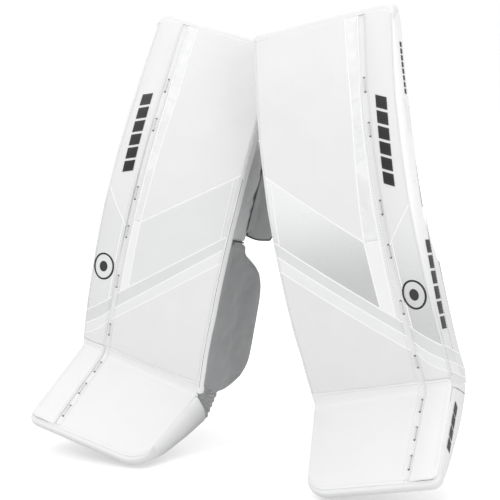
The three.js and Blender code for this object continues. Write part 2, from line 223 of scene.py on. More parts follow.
def shin_surface(x, z, offset):
    """The face between the medial edge and the lacing, slightly bulged."""
    medial = medial_x(z)
    share = (x - medial) / (lace_x(z) - medial) * 2 - 1
    bulge = -1.6 * (1 - np.clip(share, -1, 1) ** 2) - 0.35 * waves(x, z, 1, 95)
    return plain_surface(x, z, bulge + offset)


def roll_surface(x, z, offset):
    """The outer roll: it rises to the ridge and turns back towards the side."""
    start, ridge, rise = lace_x(z) + GROOVE, ridge_x(z), roll_rise(z)
    share = np.clip((x - start) / (ridge - start), 0, 1)
    inner = -(rise * (0.35 + 0.65 * share) + 2.5 * np.sin(pi * share))
    past = (x - ridge) / np.maximum(1, 134 - ridge)
    crown = np.where(x > ridge, -rise + 0.9 * rise * past * past + 3 * past * past, inner)
    return plain_surface(x, z, crown - 0.25 * waves(x, z, 4, 70) + offset)


def soft_length(distance):
    """Positive part of a distance, with a soft start."""
    soft = FOLD_SOFTNESS
    eased = (distance + soft) ** 2 / (4 * soft)
    return np.where(distance > soft, distance, np.where(distance < -soft, 0, eased))


def fold_surface(x, run, offset):
    """The skin across the ankle fold: run > 0 up the shin, run < 0 down the boot."""
    up, down = soft_length(run), soft_length(-run)
    blend = np.clip((run + FOLD_SOFTNESS) / (2 * FOLD_SOFTNESS), 0, 1)
    normal_y, normal_z = blend + (1 - blend) * BOOT_COS, -(1 - blend) * BOOT_SIN
    length = np.sqrt(normal_y * normal_y + normal_z * normal_z)
    z = FOLD_SLOPE * x + up
    y = -down * BOOT_SIN + face_y(z)
    bulge = -1.4 * np.clip(1 - (run / 190.0) ** 2, 0, 1)
    bulge = bulge * np.clip(1 - ((x + 28) / 108.0) ** 2, 0, 1) * np.clip(-run / 40, 0, 1)
    shift = offset + bulge - 0.3 * waves(x, run, 7, 80)
    return columns(x, y + shift * normal_y / length,
                   z - down * BOOT_COS + shift * normal_z / length)


def boot_roll_surface(x, run, offset):
    """The outer roll of the boot."""
    start, end = boot_lace_x(-run) + GROOVE, boot_outer_x(np.maximum(-run, 0))
    share = np.clip((x - start) / (end - start), 0, 1)
    crown = -(1.4 + 3.6 * np.sin(pi * np.minimum(1, 0.10 + 0.75 * share)))
    return fold_surface(x, run, offset + crown)


def wall_x(y, z):
    """Outline of the outer side wall: x at depth y behind the face."""
    ridge, rise = ridge_x(z), roll_rise(z)
    corner = np.clip(1 - (y + rise + 0.8) / (9 + rise), 0, 1)
    share = np.clip((y - 8.2) / np.maximum(side_depth(z) - 8.2, 1), 0, 1)
    return ridge + (WALL_X - ridge) * np.sqrt(1 - corner * corner) + 0.7 * np.sin(pi * share)


def wall_surface(y, z, offset):
    turned = np.clip((y + 2) / 8.0, 0, 1)
    return columns(wall_x(y, z) - offset * (0.4 + 0.6 * turned),
                   face_y(z) + y + offset * (1 - turned) * 0.9, z)


# ------------------------------------------------------------------ mesh tools
# A shape is a tuple (points, faces) or (points, faces, fabric coordinates).
def outward(points, faces):
    """Faces turned so that the closed mesh has a positive volume."""
    fans = np.array([(f[0], f[i], f[i + 1]) for f in faces for i in range(1, len(f) - 1)])
    first, second, third = points[fans.T]
    volume = (first * np.cross(second, third)).sum()
    return [face[::-1] for face in faces] if volume < 0 else faces


def emit(side, name, shapes, material, slot, body="shin", replaces=None, blend=None,
         sharp=38, subdivide=0):
    """Make one object from a shape or a list of shapes, riding on a body, or without a body when
    blend is given.

    blend is (first body, second body, start point, end point); its bodies and points are not used.
    """
    if isinstance(shapes, tuple):
        shapes = [shapes]
    all_points, all_faces, all_fabric, count = [], [], [], 0
    for shape in shapes:
        points = np.asarray(shape[0], float).reshape(-1, 3)
        all_points.append(points)
        all_fabric.append(points if len(shape) == 2 else np.asarray(shape[2]).reshape(-1, 3))
        all_faces += [tuple(int(i) + count for i in face) for face in outward(points, shape[1])]
        count += len(points)
    if PLACES[side]["mirror"] < 0:
        all_faces = [face[::-1] for face in all_faces]
    mesh = bpy.data.meshes.new(side + "_" + name)
    mesh.from_pydata(world(side, np.concatenate(all_points)).tolist(), [], all_faces)
    mesh.polygons.foreach_set("use_smooth", [True] * len(mesh.polygons))
    attribute = mesh.attributes.new("fab", "FLOAT_VECTOR", "POINT")
    fabric = np.concatenate(all_fabric) * 0.001
    attribute.data.foreach_set("vector", fabric.astype(np.float32).ravel())
    mesh.update()
    if sharp:
        mesh.set_sharp_from_angle(angle=radians(sharp))
    mesh.materials.append(MATERIALS[material])
    ob = bpy.data.objects.new(side + "_" + name, mesh)
    SCENE.collection.objects.link(ob)
    if subdivide:
        modifier = ob.modifiers.new("Subdivision", "SUBSURF")
        modifier.levels = modifier.render_levels = subdivide
    if blend:
        first, second, start, end = blend
        tuple(world(side, [start])[0])
        tuple(world(side, [end])[0])
        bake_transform(ob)
    else:
        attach(ob, side + "_" + body)
    if replaces:
        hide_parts(side + "_" + replaces)


def emit_pile(*details, **options):
    """Make one object from a list of small shapes."""
    emit(*details, sharp=45, **options)


def unit(vectors):
    return vectors / np.maximum(np.linalg.norm(vectors, axis=-1, keepdims=True), 1e-9)


def square_to(vectors, directions):
    """Unit vectors at right angles to the directions."""
    return unit(vectors - (vectors * directions).sum(-1, keepdims=True) * directions)


def distances(points, axis=0):
    """Running distance from the first point, along one axis of a line or grid."""
    lengths = np.linalg.norm(np.diff(points, axis=axis), axis=-1)
    return np.cumsum(np.insert(lengths, 0, 0, axis=axis), axis=axis)


def sample(points, stations, wanted):
    values = np.asarray(points, float).T
    return np.stack([np.interp(wanted, stations, column) for column in values], -1)


def along(line, shares):
    """Points at shares of the length of a line."""
    stations = distances(line)
    return sample(line, stations, np.asarray(shares, float) * stations[-1])


def resample(line, step):
    count = max(2, int(round(distances(line)[-1] / step)) + 1)
    return along(line, np.linspace(0, 1, count))


def rounded(line, times=2):
    """Corner cutting that keeps the ends."""
    line = np.asarray(line, float)
    for _ in range(times):
        points = [line[0]]
        for a, b in zip(line[:-1], line[1:]):
            points += [0.75 * a + 0.25 * b, 0.25 * a + 0.75 * b]
        line = np.array(points + [line[-1]])
    return line


def span(*lines):
    """Largest distance between the ends of the lines."""
    return max(np.linalg.norm(np.subtract(line[-1], line[0])) for line in lines)


def steps(width, step):
    """Stations from 0 to 1, close together near both ends."""
    near = [value for value in (0.9, 2.0, 3.4, 5.2) if value < width * 0.32]
    margin = near.pop()
    count = max(1, int(round((width - 2 * margin) / step)))
    middle = np.linspace(margin, width - margin, count + 1)
    stations = [0, *near, *middle, *[width - value for value in near], width]
    return np.unique(np.round(stations, 4)) / width


def coons(bottom, top, left, right, us, vs):
    """Points filling four boundary lines; bottom and top run in u, left and right run in v."""
    low, high, start, end = along(bottom, us), along(top, us), along(left, vs), along(right, vs)
    low_start, low_end = (low[0] + start[0]) / 2, (low[-1] + end[0]) / 2
    high_start, high_end = (high[0] + start[-1]) / 2, (high[-1] + end[-1]) / 2
    u, v = us[:, None, None], vs[None, :, None]
    corners = ((1 - u) * (1 - v) * low_start + u * (1 - v) * low_end
               + (1 - u) * v * high_start + u * v * high_end)
    return ((1 - v) * low[:, None] + v * high[:, None]
            + (1 - u) * start[None] + u * end[None] - corners)


def grid_solid(front, back):
    """A closed sheet between two point grids of the same size."""
    front, back = np.asarray(front), np.asarray(back)
    rows, cols, _ = front.shape
    count = rows * cols
    index = np.arange(count).reshape(rows, cols)
    corners = [index[:-1, :-1], index[1:, :-1], index[1:, 1:], index[:-1, 1:]]
    quads = np.stack(corners, -1).reshape(-1, 4)
    faces = [tuple(quad) for quad in quads] + [tuple(quad[::-1] + count) for quad in quads]
    rim = [*index[:, 0], *index[-1, 1:], *index[:-1, -1][::-1], *index[0, 1:-1][::-1]]
    for a, b in zip(rim, rim[1:] + rim[:1]):
        faces.append((b, a, a + count, b + count))
    return np.concatenate([front.reshape(-1, 3), back.reshape(-1, 3)]), faces


def grid_normals(grid):
    return unit(np.cross(np.gradient(grid, axis=0), np.gradient(grid, axis=1)))


def sheet(grid, thick):
    """A sheet of the given thickness centred on a grid."""
    shift = grid_normals(grid) * thick / 2
    return grid_solid(grid + shift, grid - shift)


def sheet_fabric(lengthwise, crosswise):
    """Fabric coordinates for both faces of a sheet."""
    return np.concatenate([columns(lengthwise[:, None], crosswise[None], 0).reshape(-1, 3)] * 2)


def bezier(points, u):
    weights = ((1 - u) ** 3, 3 * u * (1 - u) ** 2, 3 * u * u * (1 - u), u ** 3)
    return sum(np.asarray(point) * weight for point, weight in zip(points, weights))


def patch(side, name, surface, bottom, top, left, right, material, slot="face_leather",
          thick=1.5, base=0.0, edge=3.4, step=8.0, puff=0.0, depth=2.2, **options):
    """A panel with turned-under edges, lying on a surface inside four boundary lines.

    edge is the width over which it rises to its thickness, puff an extra swell in the middle.
    """
    grid = coons(bottom, top, left, right, steps(max(span(bottom, top), 4), step),
                 steps(max(span(left, right), 4), step))
    across, up = distances(grid, 0), distances(grid, 1)
    full_across, full_up = across[-1:], up[:, -1:]
    to_edge = np.minimum(np.minimum(across, full_across - across), np.minimum(up, full_up - up))
    share = np.clip(to_edge / edge, 0, 1)
    height = thick * np.sqrt(np.maximum(0, 1 - (1 - share) ** 2))
    if puff:
        swell = (np.sin(pi * across / np.maximum(full_across, 1e-6))
                 * np.sin(pi * up / np.maximum(full_up, 1e-6)))
        height = height + puff * np.maximum(swell, 0) ** 0.6
    shape = grid_solid(surface(grid[..., 0], grid[..., 1], base - height),
                       surface(grid[..., 0], grid[..., 1], base + depth))
    emit(side, name, shape, material, slot, **options)


def bead(path, normals, width, height, sink=0.5, sides=8, closed=False):
    """A rounded band along a path: height above it and sink below it."""
    path = np.asarray(path, float)
    if closed:
        tangents = unit(np.roll(path, -1, 0) - np.roll(path, 1, 0))
    else:
        tangents = unit(np.gradient(path, axis=0))
    normals = square_to(np.asarray(normals, float), tangents)
    crosswise = np.cross(tangents, normals)
    angles = np.arange(sides) * 2 * pi / sides
    spread, lift = np.cos(angles) * width / 2, np.sin(angles)
    lift = np.where(lift > 0, lift * height, lift * sink)
    points = (path[:, None] + crosswise[:, None] * spread[None, :, None]
              + normals[:, None] * lift[None, :, None])
    fabric = columns(distances(path)[:, None], (angles * width / 4)[None], 0)
    count = len(path)
    index = np.arange(count * sides).reshape(count, sides)
    faces = []
    for i in range(count if closed else count - 1):
        j = (i + 1) % count
        for k in range(sides):
            m = (k + 1) % sides
            faces.append((index[i, k], index[i, m], index[j, m], index[j, k]))
    if not closed:
        faces += [tuple(index[0][::-1]), tuple(index[-1])]
    return points.reshape(-1, 3), faces, fabric.reshape(-1, 3)


def tube(path, radius, sides=10):
    """A round cord along a path."""
    path = np.asarray(path, float)
    tangents = unit(np.gradient(path, axis=0))
    normal = np.array([0, 0, 1.0] if abs(tangents[0][2]) < 0.9 else [1.0, 0, 0])
    normals = []
    for tangent in tangents:
        normal = square_to(normal, tangent)
        normals.append(normal)
    return bead(path, normals, 2 * radius, radius, radius, sides)


def lathe(centre, axis, profile, sides=14):
    """A small turned shape from (radius, height) rows."""
    axis = unit(np.asarray(axis, float))
    across = square_to(np.array([1.0, 0, 0] if abs(axis[0]) < 0.8 else [0, 0, 1.0]), axis)
    other = np.cross(axis, across)
    angles = np.arange(sides) * 2 * pi / sides
    points = [centre + across * cos(a) * radius + other * sin(a) * radius + axis * height
              for radius, height in profile for a in angles]
    last = len(profile) - 1
    faces = []
    for i in range(last):
        for k in range(sides):
            m = (k + 1) % sides
            faces.append((i * sides + k, i * sides + m, (i + 1) * sides + m, (i + 1) * sides + k))
    faces.append(tuple(range(sides))[::-1])
    faces.append(tuple(last * sides + k for k in range(sides)))
    return np.array(points), faces


# Rings of one thread: place along it as a share of its length, then size and rise as shares of
# its radius. Two more points sunk below the surface close its ends.
STITCH_RINGS = [(-0.42, 0.7, -0.25), (-0.22, 1.0, 0.35), (0.22, 1.0, 0.35), (0.42, 0.7, -0.25)]
STITCH_ENDS = (-0.5, 0.5)
STITCH_SINK = -0.9
STITCH_FACES = [(6 * j + k, 6 * j + (k + 1) % 6, 6 * j + 6 + (k + 1) % 6, 6 * j + 6 + k)
                for j in range(3) for k in range(6)]
for k in range(6):
    STITCH_FACES += [(24, (k + 1) % 6, k), (25, 18 + k, 18 + (k + 1) % 6)]


def stitch_row(path, normals, length=3.4, gap=1.9, radius=0.55, lift=0.0):
    """A row of short threads lying along a path, as a list of shapes."""
    normals = np.broadcast_to(np.asarray(normals, float), path.shape)
    stations = distances(path)
    total = stations[-1]
    count = max(1, int(total / (length + gap)))
    middles = (np.arange(count) + 0.5) * total / count
    centres = sample(path, stations, middles)
    tangents = unit(sample(path, stations, np.minimum(middles + 1, total))
                    - sample(path, stations, np.maximum(middles - 1, 0)))
    normals = square_to(sample(normals, stations, middles), tangents)
    angles = np.arange(6) * pi / 3
    shapes = []
    for middle, centre, tangent, normal in zip(middles, centres, tangents, normals):
        across = np.cross(tangent, normal)
        points = [centre + tangent * place * length + across * cos(a) * radius * size
                  + normal * (sin(a) * radius * size + rise * radius + lift)
                  for place, size, rise in STITCH_RINGS for a in angles]
        points += [centre + tangent * end * length + normal * (STITCH_SINK * radius + lift)
                   for end in STITCH_ENDS]
        points = np.array(points)
        fabric = columns(middle, (points - centre) @ across, (points - centre) @ normal)
        shapes.append((points, STITCH_FACES, fabric))
    return shapes


def normals_of(surface, spots, offset=0.0):
    """Points of a surface and their front-pointing normals."""
    spots = np.asarray(spots, float)
    first, second = spots[..., 0], spots[..., 1]
    near = 0.6
    d_first = surface(first + near, second, offset) - surface(first - near, second, offset)
    d_second = surface(first, second + near, offset) - surface(first, second - near, offset)
    return surface(first, second, offset), unit(np.cross(d_first, d_second))


def seam_line(surface, line, width, height, offset):
    """A raised seam along a line on a surface."""
    points, normals = normals_of(surface, resample(line, 6.0), offset)
    return bead(points, normals, width, height, sink=0.8)


def stitch_line(surface, line, offset, **thread_sizes):
    points, normals = normals_of(surface, resample(line, 3.0), offset)
    return stitch_row(points, normals, **thread_sizes)


# ------------------------------------------------------------------ shader tools
class Graph:
    """Short ways to add nodes to the emptied node tree of a material or world."""

    def __init__(self, owner):
        owner.use_nodes = True
        self.tree = owner.node_tree
        self.tree.nodes.clear()

    def feed(self, node, inputs):
        """Link or set the inputs of a node, given as {socket: output or value}."""
        for key, value in inputs.items():
            if isinstance(value, bpy.types.NodeSocket):
                self.tree.links.new(value, node.inputs[key])
            else:
                node.inputs[key].default_value = value

    def node(self, kind, inputs=None, **settings):
        node = self.tree.nodes.new("ShaderNode" + kind)
        for key, value in settings.items():
            setattr(node, key, value)
        self.feed(node, inputs or {})
        return node

    def fabric(self):
        """Coordinates that follow the cloth."""
        return self.node("Attribute", attribute_name="fab").outputs["Vector"]

    def object_coords(self):
        return self.node("TexCoord").outputs["Object"]

    def noise(self, coords, scale, detail, distortion=0.0):
        inputs = {"Vector": coords, "Scale": scale, "Detail": detail, "Distortion": distortion}
        return self.node("TexNoise", inputs).outputs[0]

    def math(self, operation, *values):
        return self.node("Math", dict(enumerate(values)), operation=operation).outputs[0]

    def ramp(self, factor, start, first, end, last):
        """Run from the first colour or grey at start to the last one at end."""
        node = self.node("ValToRGB", {0: factor})
        stops = ((start, first), (end, last))
        for element, (position, color) in zip(node.color_ramp.elements, stops):
            element.position = position
            element.color = (*color, 1) if isinstance(color, tuple) else (color,) * 3 + (1,)
        return node.outputs[0]

    def drift(self, factor, color, down, up):
        """A colour drifting between two brightness factors."""
        return self.ramp(factor, 0.3, tint(color, down), 0.7, tint(color, up))

    def mix(self, factor, first, second, blend="MIX"):
        first, second = ((*c, 1) if isinstance(c, tuple) else c for c in (first, second))
        inputs = {0: factor, 6: first, 7: second}
        return self.node("Mix", inputs, data_type="RGBA", blend_type=blend).outputs[2]

    def edges(self, start, end):
        """Mask of the sharp outer edges, from their pointiness."""
        pointiness = self.node("NewGeometry").outputs["Pointiness"]
        return self.ramp(pointiness, start, 0.0, end, 1.0)

    def bump(self, height, strength, distance, under=None):
        inputs = {"Strength": strength, "Distance": distance, "Height": height}
        if under is not None:
            inputs["Normal"] = under
        return self.node("Bump", inputs).outputs[0]


def principled(name):
    """A new material with its graph and Principled node."""
    material = bpy.data.materials.new(name)
    graph = Graph(material)
    output = graph.node("OutputMaterial")
    bsdf = graph.node("BsdfPrincipled")
    graph.feed(output, {0: bsdf.outputs[0]})
    return material, graph, bsdf


def tint(color, factor):
    return tuple(min(1.0, value * factor) for value in color)


# ------------------------------------------------------------------ kinds of material
def leather(name, color, rough=0.42, grain=620, strength=0.35, mottle=0.012, coat=0.0,
            painted_highlight=0.0, specular=0.45, wear=0.25, painted_shade=None, painted_shade_along=(0, 0, 1), wrinkles=0.25):
    """Coated synthetic leather: pebbled grain, faint colour drift, scuffed edges, uneven gloss.

    A gradient of painted shade is given as two (place in metres along the given direction,
    brightness) pairs.
    """
    material, graph, bsdf = principled(name)
    coords = graph.fabric()
    big = graph.noise(coords, scale=14.0, detail=3.0)
    fine = graph.noise(coords, scale=160.0, detail=4.0)
    tone = graph.drift(big, color, 1 - mottle, 1 + mottle)
    # painted highlight: lighter cloudy patches stand in for reflections on the shiny surface
    if painted_highlight:
        highlight_noise = graph.noise(coords, scale=26.0, detail=5.0, distortion=1.2)
        highlight_mask = graph.ramp(highlight_noise, 0.35, 0.0, 0.68, 1.0)
        tone = graph.mix(highlight_mask, tone, tint(color, 1 + painted_highlight))
    # painted shade: the brightness changes along one direction, standing in for light falling off
    # over the piece
    if painted_shade:
        (low, low_factor), (high, high_factor) = painted_shade
        place = graph.node("VectorMath", {0: coords, 1: painted_shade_along}, operation="DOT_PRODUCT")
        span_inputs = {0: place.outputs["Value"], 1: low, 2: high, 3: low_factor, 4: high_factor}
        shading = graph.node("MapRange", span_inputs, interpolation_type="SMOOTHSTEP")
        tone = graph.mix(1.0, tone, shading.outputs[0], "MULTIPLY")
    scuffs = graph.math("MULTIPLY", graph.edges(0.52, 0.62), graph.ramp(fine, 0.45, 0.0, 0.7, 1.0))
    tone = graph.mix(graph.math("MULTIPLY", scuffs, wear), tone, tint(color, 0.72))
    vary = 1.0 if wear else 0.12
    roughness = graph.ramp(fine, 0.3, max(0.02, rough - 0.07 * vary),
                           0.7, min(1.0, rough + 0.09 * vary))
    graph.feed(bsdf, {"Base Color": tone, "Roughness": roughness, "Specular IOR Level": specular})
    if coat:
        graph.feed(bsdf, {"Coat Weight": coat, "Coat Roughness": 0.12})
    pebbles = graph.node("TexVoronoi", {"Vector": coords, "Scale": float(grain)},
                         feature="SMOOTH_F1")
    height = graph.math("ADD", pebbles.outputs["Distance"], graph.math("MULTIPLY", fine, 0.8))
    grain_normal = graph.bump(height, strength=strength, distance=0.00035)
    wrinkle = graph.noise(coords, scale=34.0, detail=4.0, distortion=0.6)
    normal = graph.bump(wrinkle, strength=wrinkles, distance=0.0012, under=grain_normal)
    graph.feed(bsdf, {"Normal": normal})
    return material


def woven(name, color, pitch=1.6, rough=0.75, strength=0.5, mottle=0.08, sheen=0.25, rib=0.0):
    """Woven nylon or webbing: threads over and under, painted shade in the gaps between them, colour
    drift and a little fuzz.

    pitch is the thread spacing in millimetres, rib the height of the lengthwise ribs.
    """
    material, graph, bsdf = principled(name)
    coords = graph.fabric()
    axes = graph.node("SeparateXYZ", {0: coords}).outputs
    rate = 2 * pi / (pitch * 0.001)
    warp = graph.math("SINE", graph.math("MULTIPLY", axes[0], rate))
    weft = graph.math("SINE", graph.math("MULTIPLY", axes[1], rate * (0.5 if rib else 1.0)))
    weave = graph.math("MULTIPLY", warp, weft)
    if rib:
        half = graph.math("MULTIPLY", weave, 0.5)
        weave = graph.math("ADD", half, graph.math("MULTIPLY", warp, rib))
    height = graph.math("MULTIPLY_ADD", weave, 0.5, 0.5)
    big = graph.noise(coords, scale=22.0, detail=4.0)
    fuzz = graph.noise(coords, scale=900.0, detail=2.0)
    tone = graph.drift(big, color, 1 - mottle, 1 + mottle)
    # painted shade: the low gaps between threads are darkened
    gap_shade = graph.math("MULTIPLY", graph.ramp(height, 0.0, 1.0, 0.45, 0.0), 0.6)
    tone = graph.mix(gap_shade, tone, tint(color, 0.75))
    worn = graph.math("MULTIPLY", graph.edges(0.53, 0.64), 0.3)
    tone = graph.mix(worn, tone, tint(color, 1.35))
    roughness = graph.ramp(fuzz, 0.3, rough - 0.08, 0.7, min(1.0, rough + 0.12))
    relief = graph.math("ADD", height, graph.math("MULTIPLY", fuzz, 0.35))
    weave_normal = graph.bump(relief, strength=strength, distance=0.0005)
    wrinkle = graph.noise(coords, scale=30.0, detail=3.0, distortion=0.8)
    normal = graph.bump(wrinkle, strength=0.3, distance=0.002, under=weave_normal)
    graph.feed(bsdf, {"Base Color": tone, "Roughness": roughness, "Sheen Weight": sheen,
                      "Specular IOR Level": 0.25, "Normal": normal})
    return material


def foam(name, color):
    """Matt foam with small open cells."""
    material, graph, bsdf = principled(name)
    coords = graph.object_coords()
    cells = graph.node("TexVoronoi", {"Vector": coords, "Scale": 420.0}).outputs[0]
    patches = graph.noise(coords, scale=40.0, detail=5.0)
    graph.feed(bsdf, {
        "Base Color": graph.drift(patches, color, 0.88, 1.08),
        "Roughness": graph.ramp(cells, 0.0, 0.98, 0.6, 0.85),
        "Normal": graph.bump(cells, strength=0.6, distance=0.0007),
    })
    return material


def plastic(name, color, rough=0.38, texture=700, strength=0.25, on_fabric=False):
    """Moulded plastic with a fine texture and pale edges."""
    material, graph, bsdf = principled(name)
    coords = graph.fabric() if on_fabric else graph.object_coords()
    fine = graph.noise(coords, scale=float(texture), detail=3.0)
    big = graph.noise(coords, scale=30.0, detail=5.0)
    edge = graph.edges(0.52, 0.62)
    tone = graph.drift(big, color, 0.85, 1.15)
    pale = tuple(min(1, value * 1.6 + 0.04) for value in color)
    tone = graph.mix(graph.math("MULTIPLY", edge, 0.35), tone, pale)
    graph.feed(bsdf, {
        "Base Color": tone,
        "Roughness": graph.ramp(big, 0.3, max(0.02, rough - 0.08), 0.7, rough + 0.12),
        "Normal": graph.bump(fine, strength=strength, distance=0.0003),
    })
    return material


def thread(name, color, rough=0.6, pitch=1.1):
    """Twisted thread or cord; pitch is the spacing of the twist in millimetres."""
    material, graph, bsdf = principled(name)
    coords = graph.fabric()
    axes = graph.node("SeparateXYZ", {0: coords}).outputs
    slant = graph.math("ADD", axes[0], graph.math("MULTIPLY", axes[1], 0.9))
    twist = graph.math("SINE", graph.math("MULTIPLY", slant, 2 * pi / (pitch * 0.001)))
    height = graph.math("MULTIPLY_ADD", twist, 0.5, 0.5)
    fuzz = graph.noise(coords, scale=300.0, detail=3.0)
    shade = graph.math("MULTIPLY", height, 0.5)
    graph.feed(bsdf, {
        "Base Color": graph.mix(shade, tint(color, 0.86), tint(color, 1.06)),
        "Roughness": graph.ramp(fuzz, 0.3, rough - 0.1, 0.7, rough + 0.2),
        "Sheen Weight": 0.2,
        "Normal": graph.bump(graph.math("ADD", height, fuzz), strength=0.5, distance=0.0004),
    })
    return material


# ------------------------------------------------------------------ materials
GLOSS = dict(strength=0.02, mottle=0.01, specular=0.5, wear=0.0, wrinkles=0.05)
NYLON = dict(pitch=1.7, rough=0.72)
# direction of the painted shade on the medial boot wall, back from the boot face
BOOT_BACKWARD = (FOLD_SLOPE * BOOT_SIN, BOOT_COS, -BOOT_SIN)
MATERIALS = dict(
    skin=leather("face_leather", (0.80, 0.80, 0.80)),
    skin_bright=leather("bright_leather", (0.86, 0.86, 0.865), rough=0.4),
    band_dark=leather("band_leather_grey", (0.725, 0.73, 0.735)),
    band_light=leather("band_leather_light", (0.815, 0.82, 0.82), rough=0.4),
    gloss=leather("gloss_vinyl", (0.765, 0.77, 0.775), rough=0.3, coat=0.35, **GLOSS),
    # left-pad copy of the glossy vinyl: lighter, with painted reflection that gets darker towards
    # the bottom of the pad
    gloss_left_painted_reflection=leather("gloss_vinyl_painted_reflection", (0.80, 0.805, 0.81), rough=0.28, coat=0.4,
                       painted_shade=((0.20, 0.68), (0.385, 1.08)), **GLOSS),
    # left-pad copy of the glossy vinyl for the roll, with painted reflection that gets darker
    # towards the bottom of the pad
    gloss_roll_painted_reflection=leather("gloss_vinyl_roll_painted_reflection", (0.80, 0.805, 0.81), rough=0.28, coat=0.4,
                       painted_shade=((0.12, 0.76), (0.33, 1.0)), **GLOSS),
    # the strip gets lighter patches of painted highlight
    strip=leather("strip_vinyl", (0.77, 0.775, 0.78), rough=0.38, grain=200, strength=0.3,
                  mottle=0.03, coat=0.2, painted_highlight=0.12, wear=0.15),
    piping=leather("seam_piping", (0.93, 0.93, 0.93), rough=0.35, grain=500, strength=0.15,
                   mottle=0.015, wear=0.1),
    # lighter than the face leather to offset the shade between the pads: painted light
    edge=leather("edge_leather", (0.88, 0.88, 0.882), rough=0.45),
    side=leather("side_leather", (0.80, 0.80, 0.805), rough=0.45),
    # painted shade: lighter near the boot face and darker towards the back, where the medial wall
    # turns away from the light
    boot_wall=leather("boot_wall_leather_painted_shade", (0.80, 0.80, 0.805), rough=0.45,
                      painted_shade=((-0.020, 1.24), (0.080, 0.60)), painted_shade_along=BOOT_BACKWARD),
    # lighter than the face leather, with painted shade that gets darker towards the bottom of the
    # pad
    wall=leather("wall_leather", (0.92, 0.92, 0.922), painted_shade=((0.12, 0.83), (0.33, 1.0))),
    # dark grey band: painted shade along the medial edge of the face
    face_edge=leather("edge_band_painted_shade", (0.44, 0.445, 0.45)),
    # darker copy of the face leather: painted shade for the left pad's lower face, which tilts away
    # from the light
    skin_painted_shade=leather("face_leather_painted_shade", (0.775, 0.775, 0.778)),
    boot=leather("boot_leather", (0.83, 0.83, 0.832)),
    wing=woven("wing_nylon", (0.36, 0.365, 0.37), **NYLON),
    # lighter copy of the wing nylon for the knee block: painted light on the shaded medial side
    block=woven("block_nylon", (0.60, 0.605, 0.61), **NYLON),
    wing_face=leather("wing_leather", (0.40, 0.405, 0.41), rough=0.5, grain=520, mottle=0.06),
    lining=woven("liner_knit", (0.30, 0.31, 0.32), pitch=2.4, rough=0.9, strength=0.7,
                 mottle=0.1, sheen=0.5),
    cover=woven("back_nylon", (0.20, 0.205, 0.215), pitch=1.4),
    webbing=woven("strap_webbing", (0.022, 0.023, 0.026), pitch=2.2, rough=0.8, strength=0.7,
                  mottle=0.2, sheen=0.35, rib=0.5),
    binding=woven("binding_tape", (0.02, 0.02, 0.022), pitch=1.5, rough=0.8, strength=0.6,
                  mottle=0.2, sheen=0.3, rib=0.6),
    hook=woven("hook_tape", (0.03, 0.03, 0.034), pitch=1.1, rough=0.95, strength=1.0,
               mottle=0.25, sheen=0.8),
    foam=foam("core_foam", (0.70, 0.70, 0.66)),
    foam_dark=foam("back_foam", (0.10, 0.105, 0.115)),
    plate=plastic("plate_plastic", (0.03, 0.032, 0.036), rough=0.42),
    hard=plastic("toe_plastic", (0.018, 0.019, 0.021), rough=0.36),
    lace=thread("lace_cord", (0.84, 0.84, 0.83)),
    stitch=thread("stitch_thread", (0.62, 0.63, 0.64)),
    stitch_grey=thread("stitch_thread_grey", (0.40, 0.41, 0.42)),
    cord=thread("toe_cord", (0.06, 0.06, 0.065), rough=0.7, pitch=2.0),
    # black discs at the lace holes: painted shade for the inside of the punched holes
    hole=plastic("hole_shade_disc", (0.006, 0.006, 0.007), rough=0.5, texture=500, strength=0.2,
                 on_fabric=True),
    ink=plastic("mark_ink", (0.012, 0.012, 0.013), rough=0.35, texture=500, strength=0.15,
                on_fabric=True),
    shade=leather("seam_shadow", (0.30, 0.305, 0.31), rough=0.6, grain=500, strength=0.2),
)
CAD_MATERIALS = dict(face_core="foam", boot_core="foam", rear_foam="foam_dark",
                     stiffener_plate="plate", toe_bridge="hard", toe_slider="hard")


def dress_cad(side):
    """Give the CAD pieces their materials, and the hard toe pieces a small bevel."""
    for piece, material in CAD_MATERIALS.items():
        ob = frame["nodes"][side + "_" + piece]
        ob.data.materials.clear()
        ob.data.materials.append(MATERIALS[material])
        if material == "hard":
            bevel = ob.modifiers.new("Bevel", "BEVEL")
            bevel.width, bevel.segments = 0.0009, 3
            bevel.limit_method = "ANGLE"


# ------------------------------------------------------------------ panel edges
def face_medial_x(z):
    return medial_x(z) + 3.4


def face_lace_x(z):
    return lace_x(z) - GROOVE


def roll_lace_x(z):
    return lace_x(z) + GROOVE


def roll_ridge_x(z):
    return ridge_x(z) - 0.6


def face_top_z(x):
    return top_z(x) - TOP_MARGIN


def break_z(x):
    """The stitched line across the pad just above the ankle fold."""
    return 16.5 + 0.026 * (np.asarray(x, float) + 134)


def break_run(x):
    """The same line as a distance above the fold."""
    return break_z(x) - FOLD_SLOPE * x


def upright(x_at, low, high, count=14):
    z = np.linspace(low, high, count)
    return columns(x_at(z), z)


def level(z_at, start, end, count):
    x = np.linspace(start, end, count)
    return columns(x, z_at(x))


def line_at(line, x):
    """Height of a line at x."""
    return np.interp(x, *np.asarray(line, float).T)


# Seams of the face as (x, z) points. corner: where the upper seam meets the strip;
# upper_medial_z: height of the upper seam on the medial edge; turn_foot: lower end of the seam
# below the corner; lower_seams: medial z, a middle point, z at the lacing; strip and outer:
# points of the two sides of the strip, with their x at the top.
LAYOUT = {
    "left": dict(
        corner=(31, 281), upper_medial_z=415, turn_foot=(37, 163.5),
        lower_seams=[(300, (61, 143), 134), (275, (68, 112), 108), (249, (68, 86), 82)],
        strip=[(33, 332), (44, 498)], strip_top_x=46,
        outer=[(59, 281), (58, 330), (60, 480)], outer_top_x=69.5,
    ),
    "right": dict(
        corner=(48, 285), upper_medial_z=419, turn_foot=(48, 156),
        lower_seams=[(305, (61, 146), 137), (281, (68, 110), 106), (255, (70, 87), 84)],
        strip=[(45, 422), (41, 525)], strip_top_x=49,
        outer=[(63, 285), (62, 340), (61, 500)], outer_top_x=70,
    ),
}


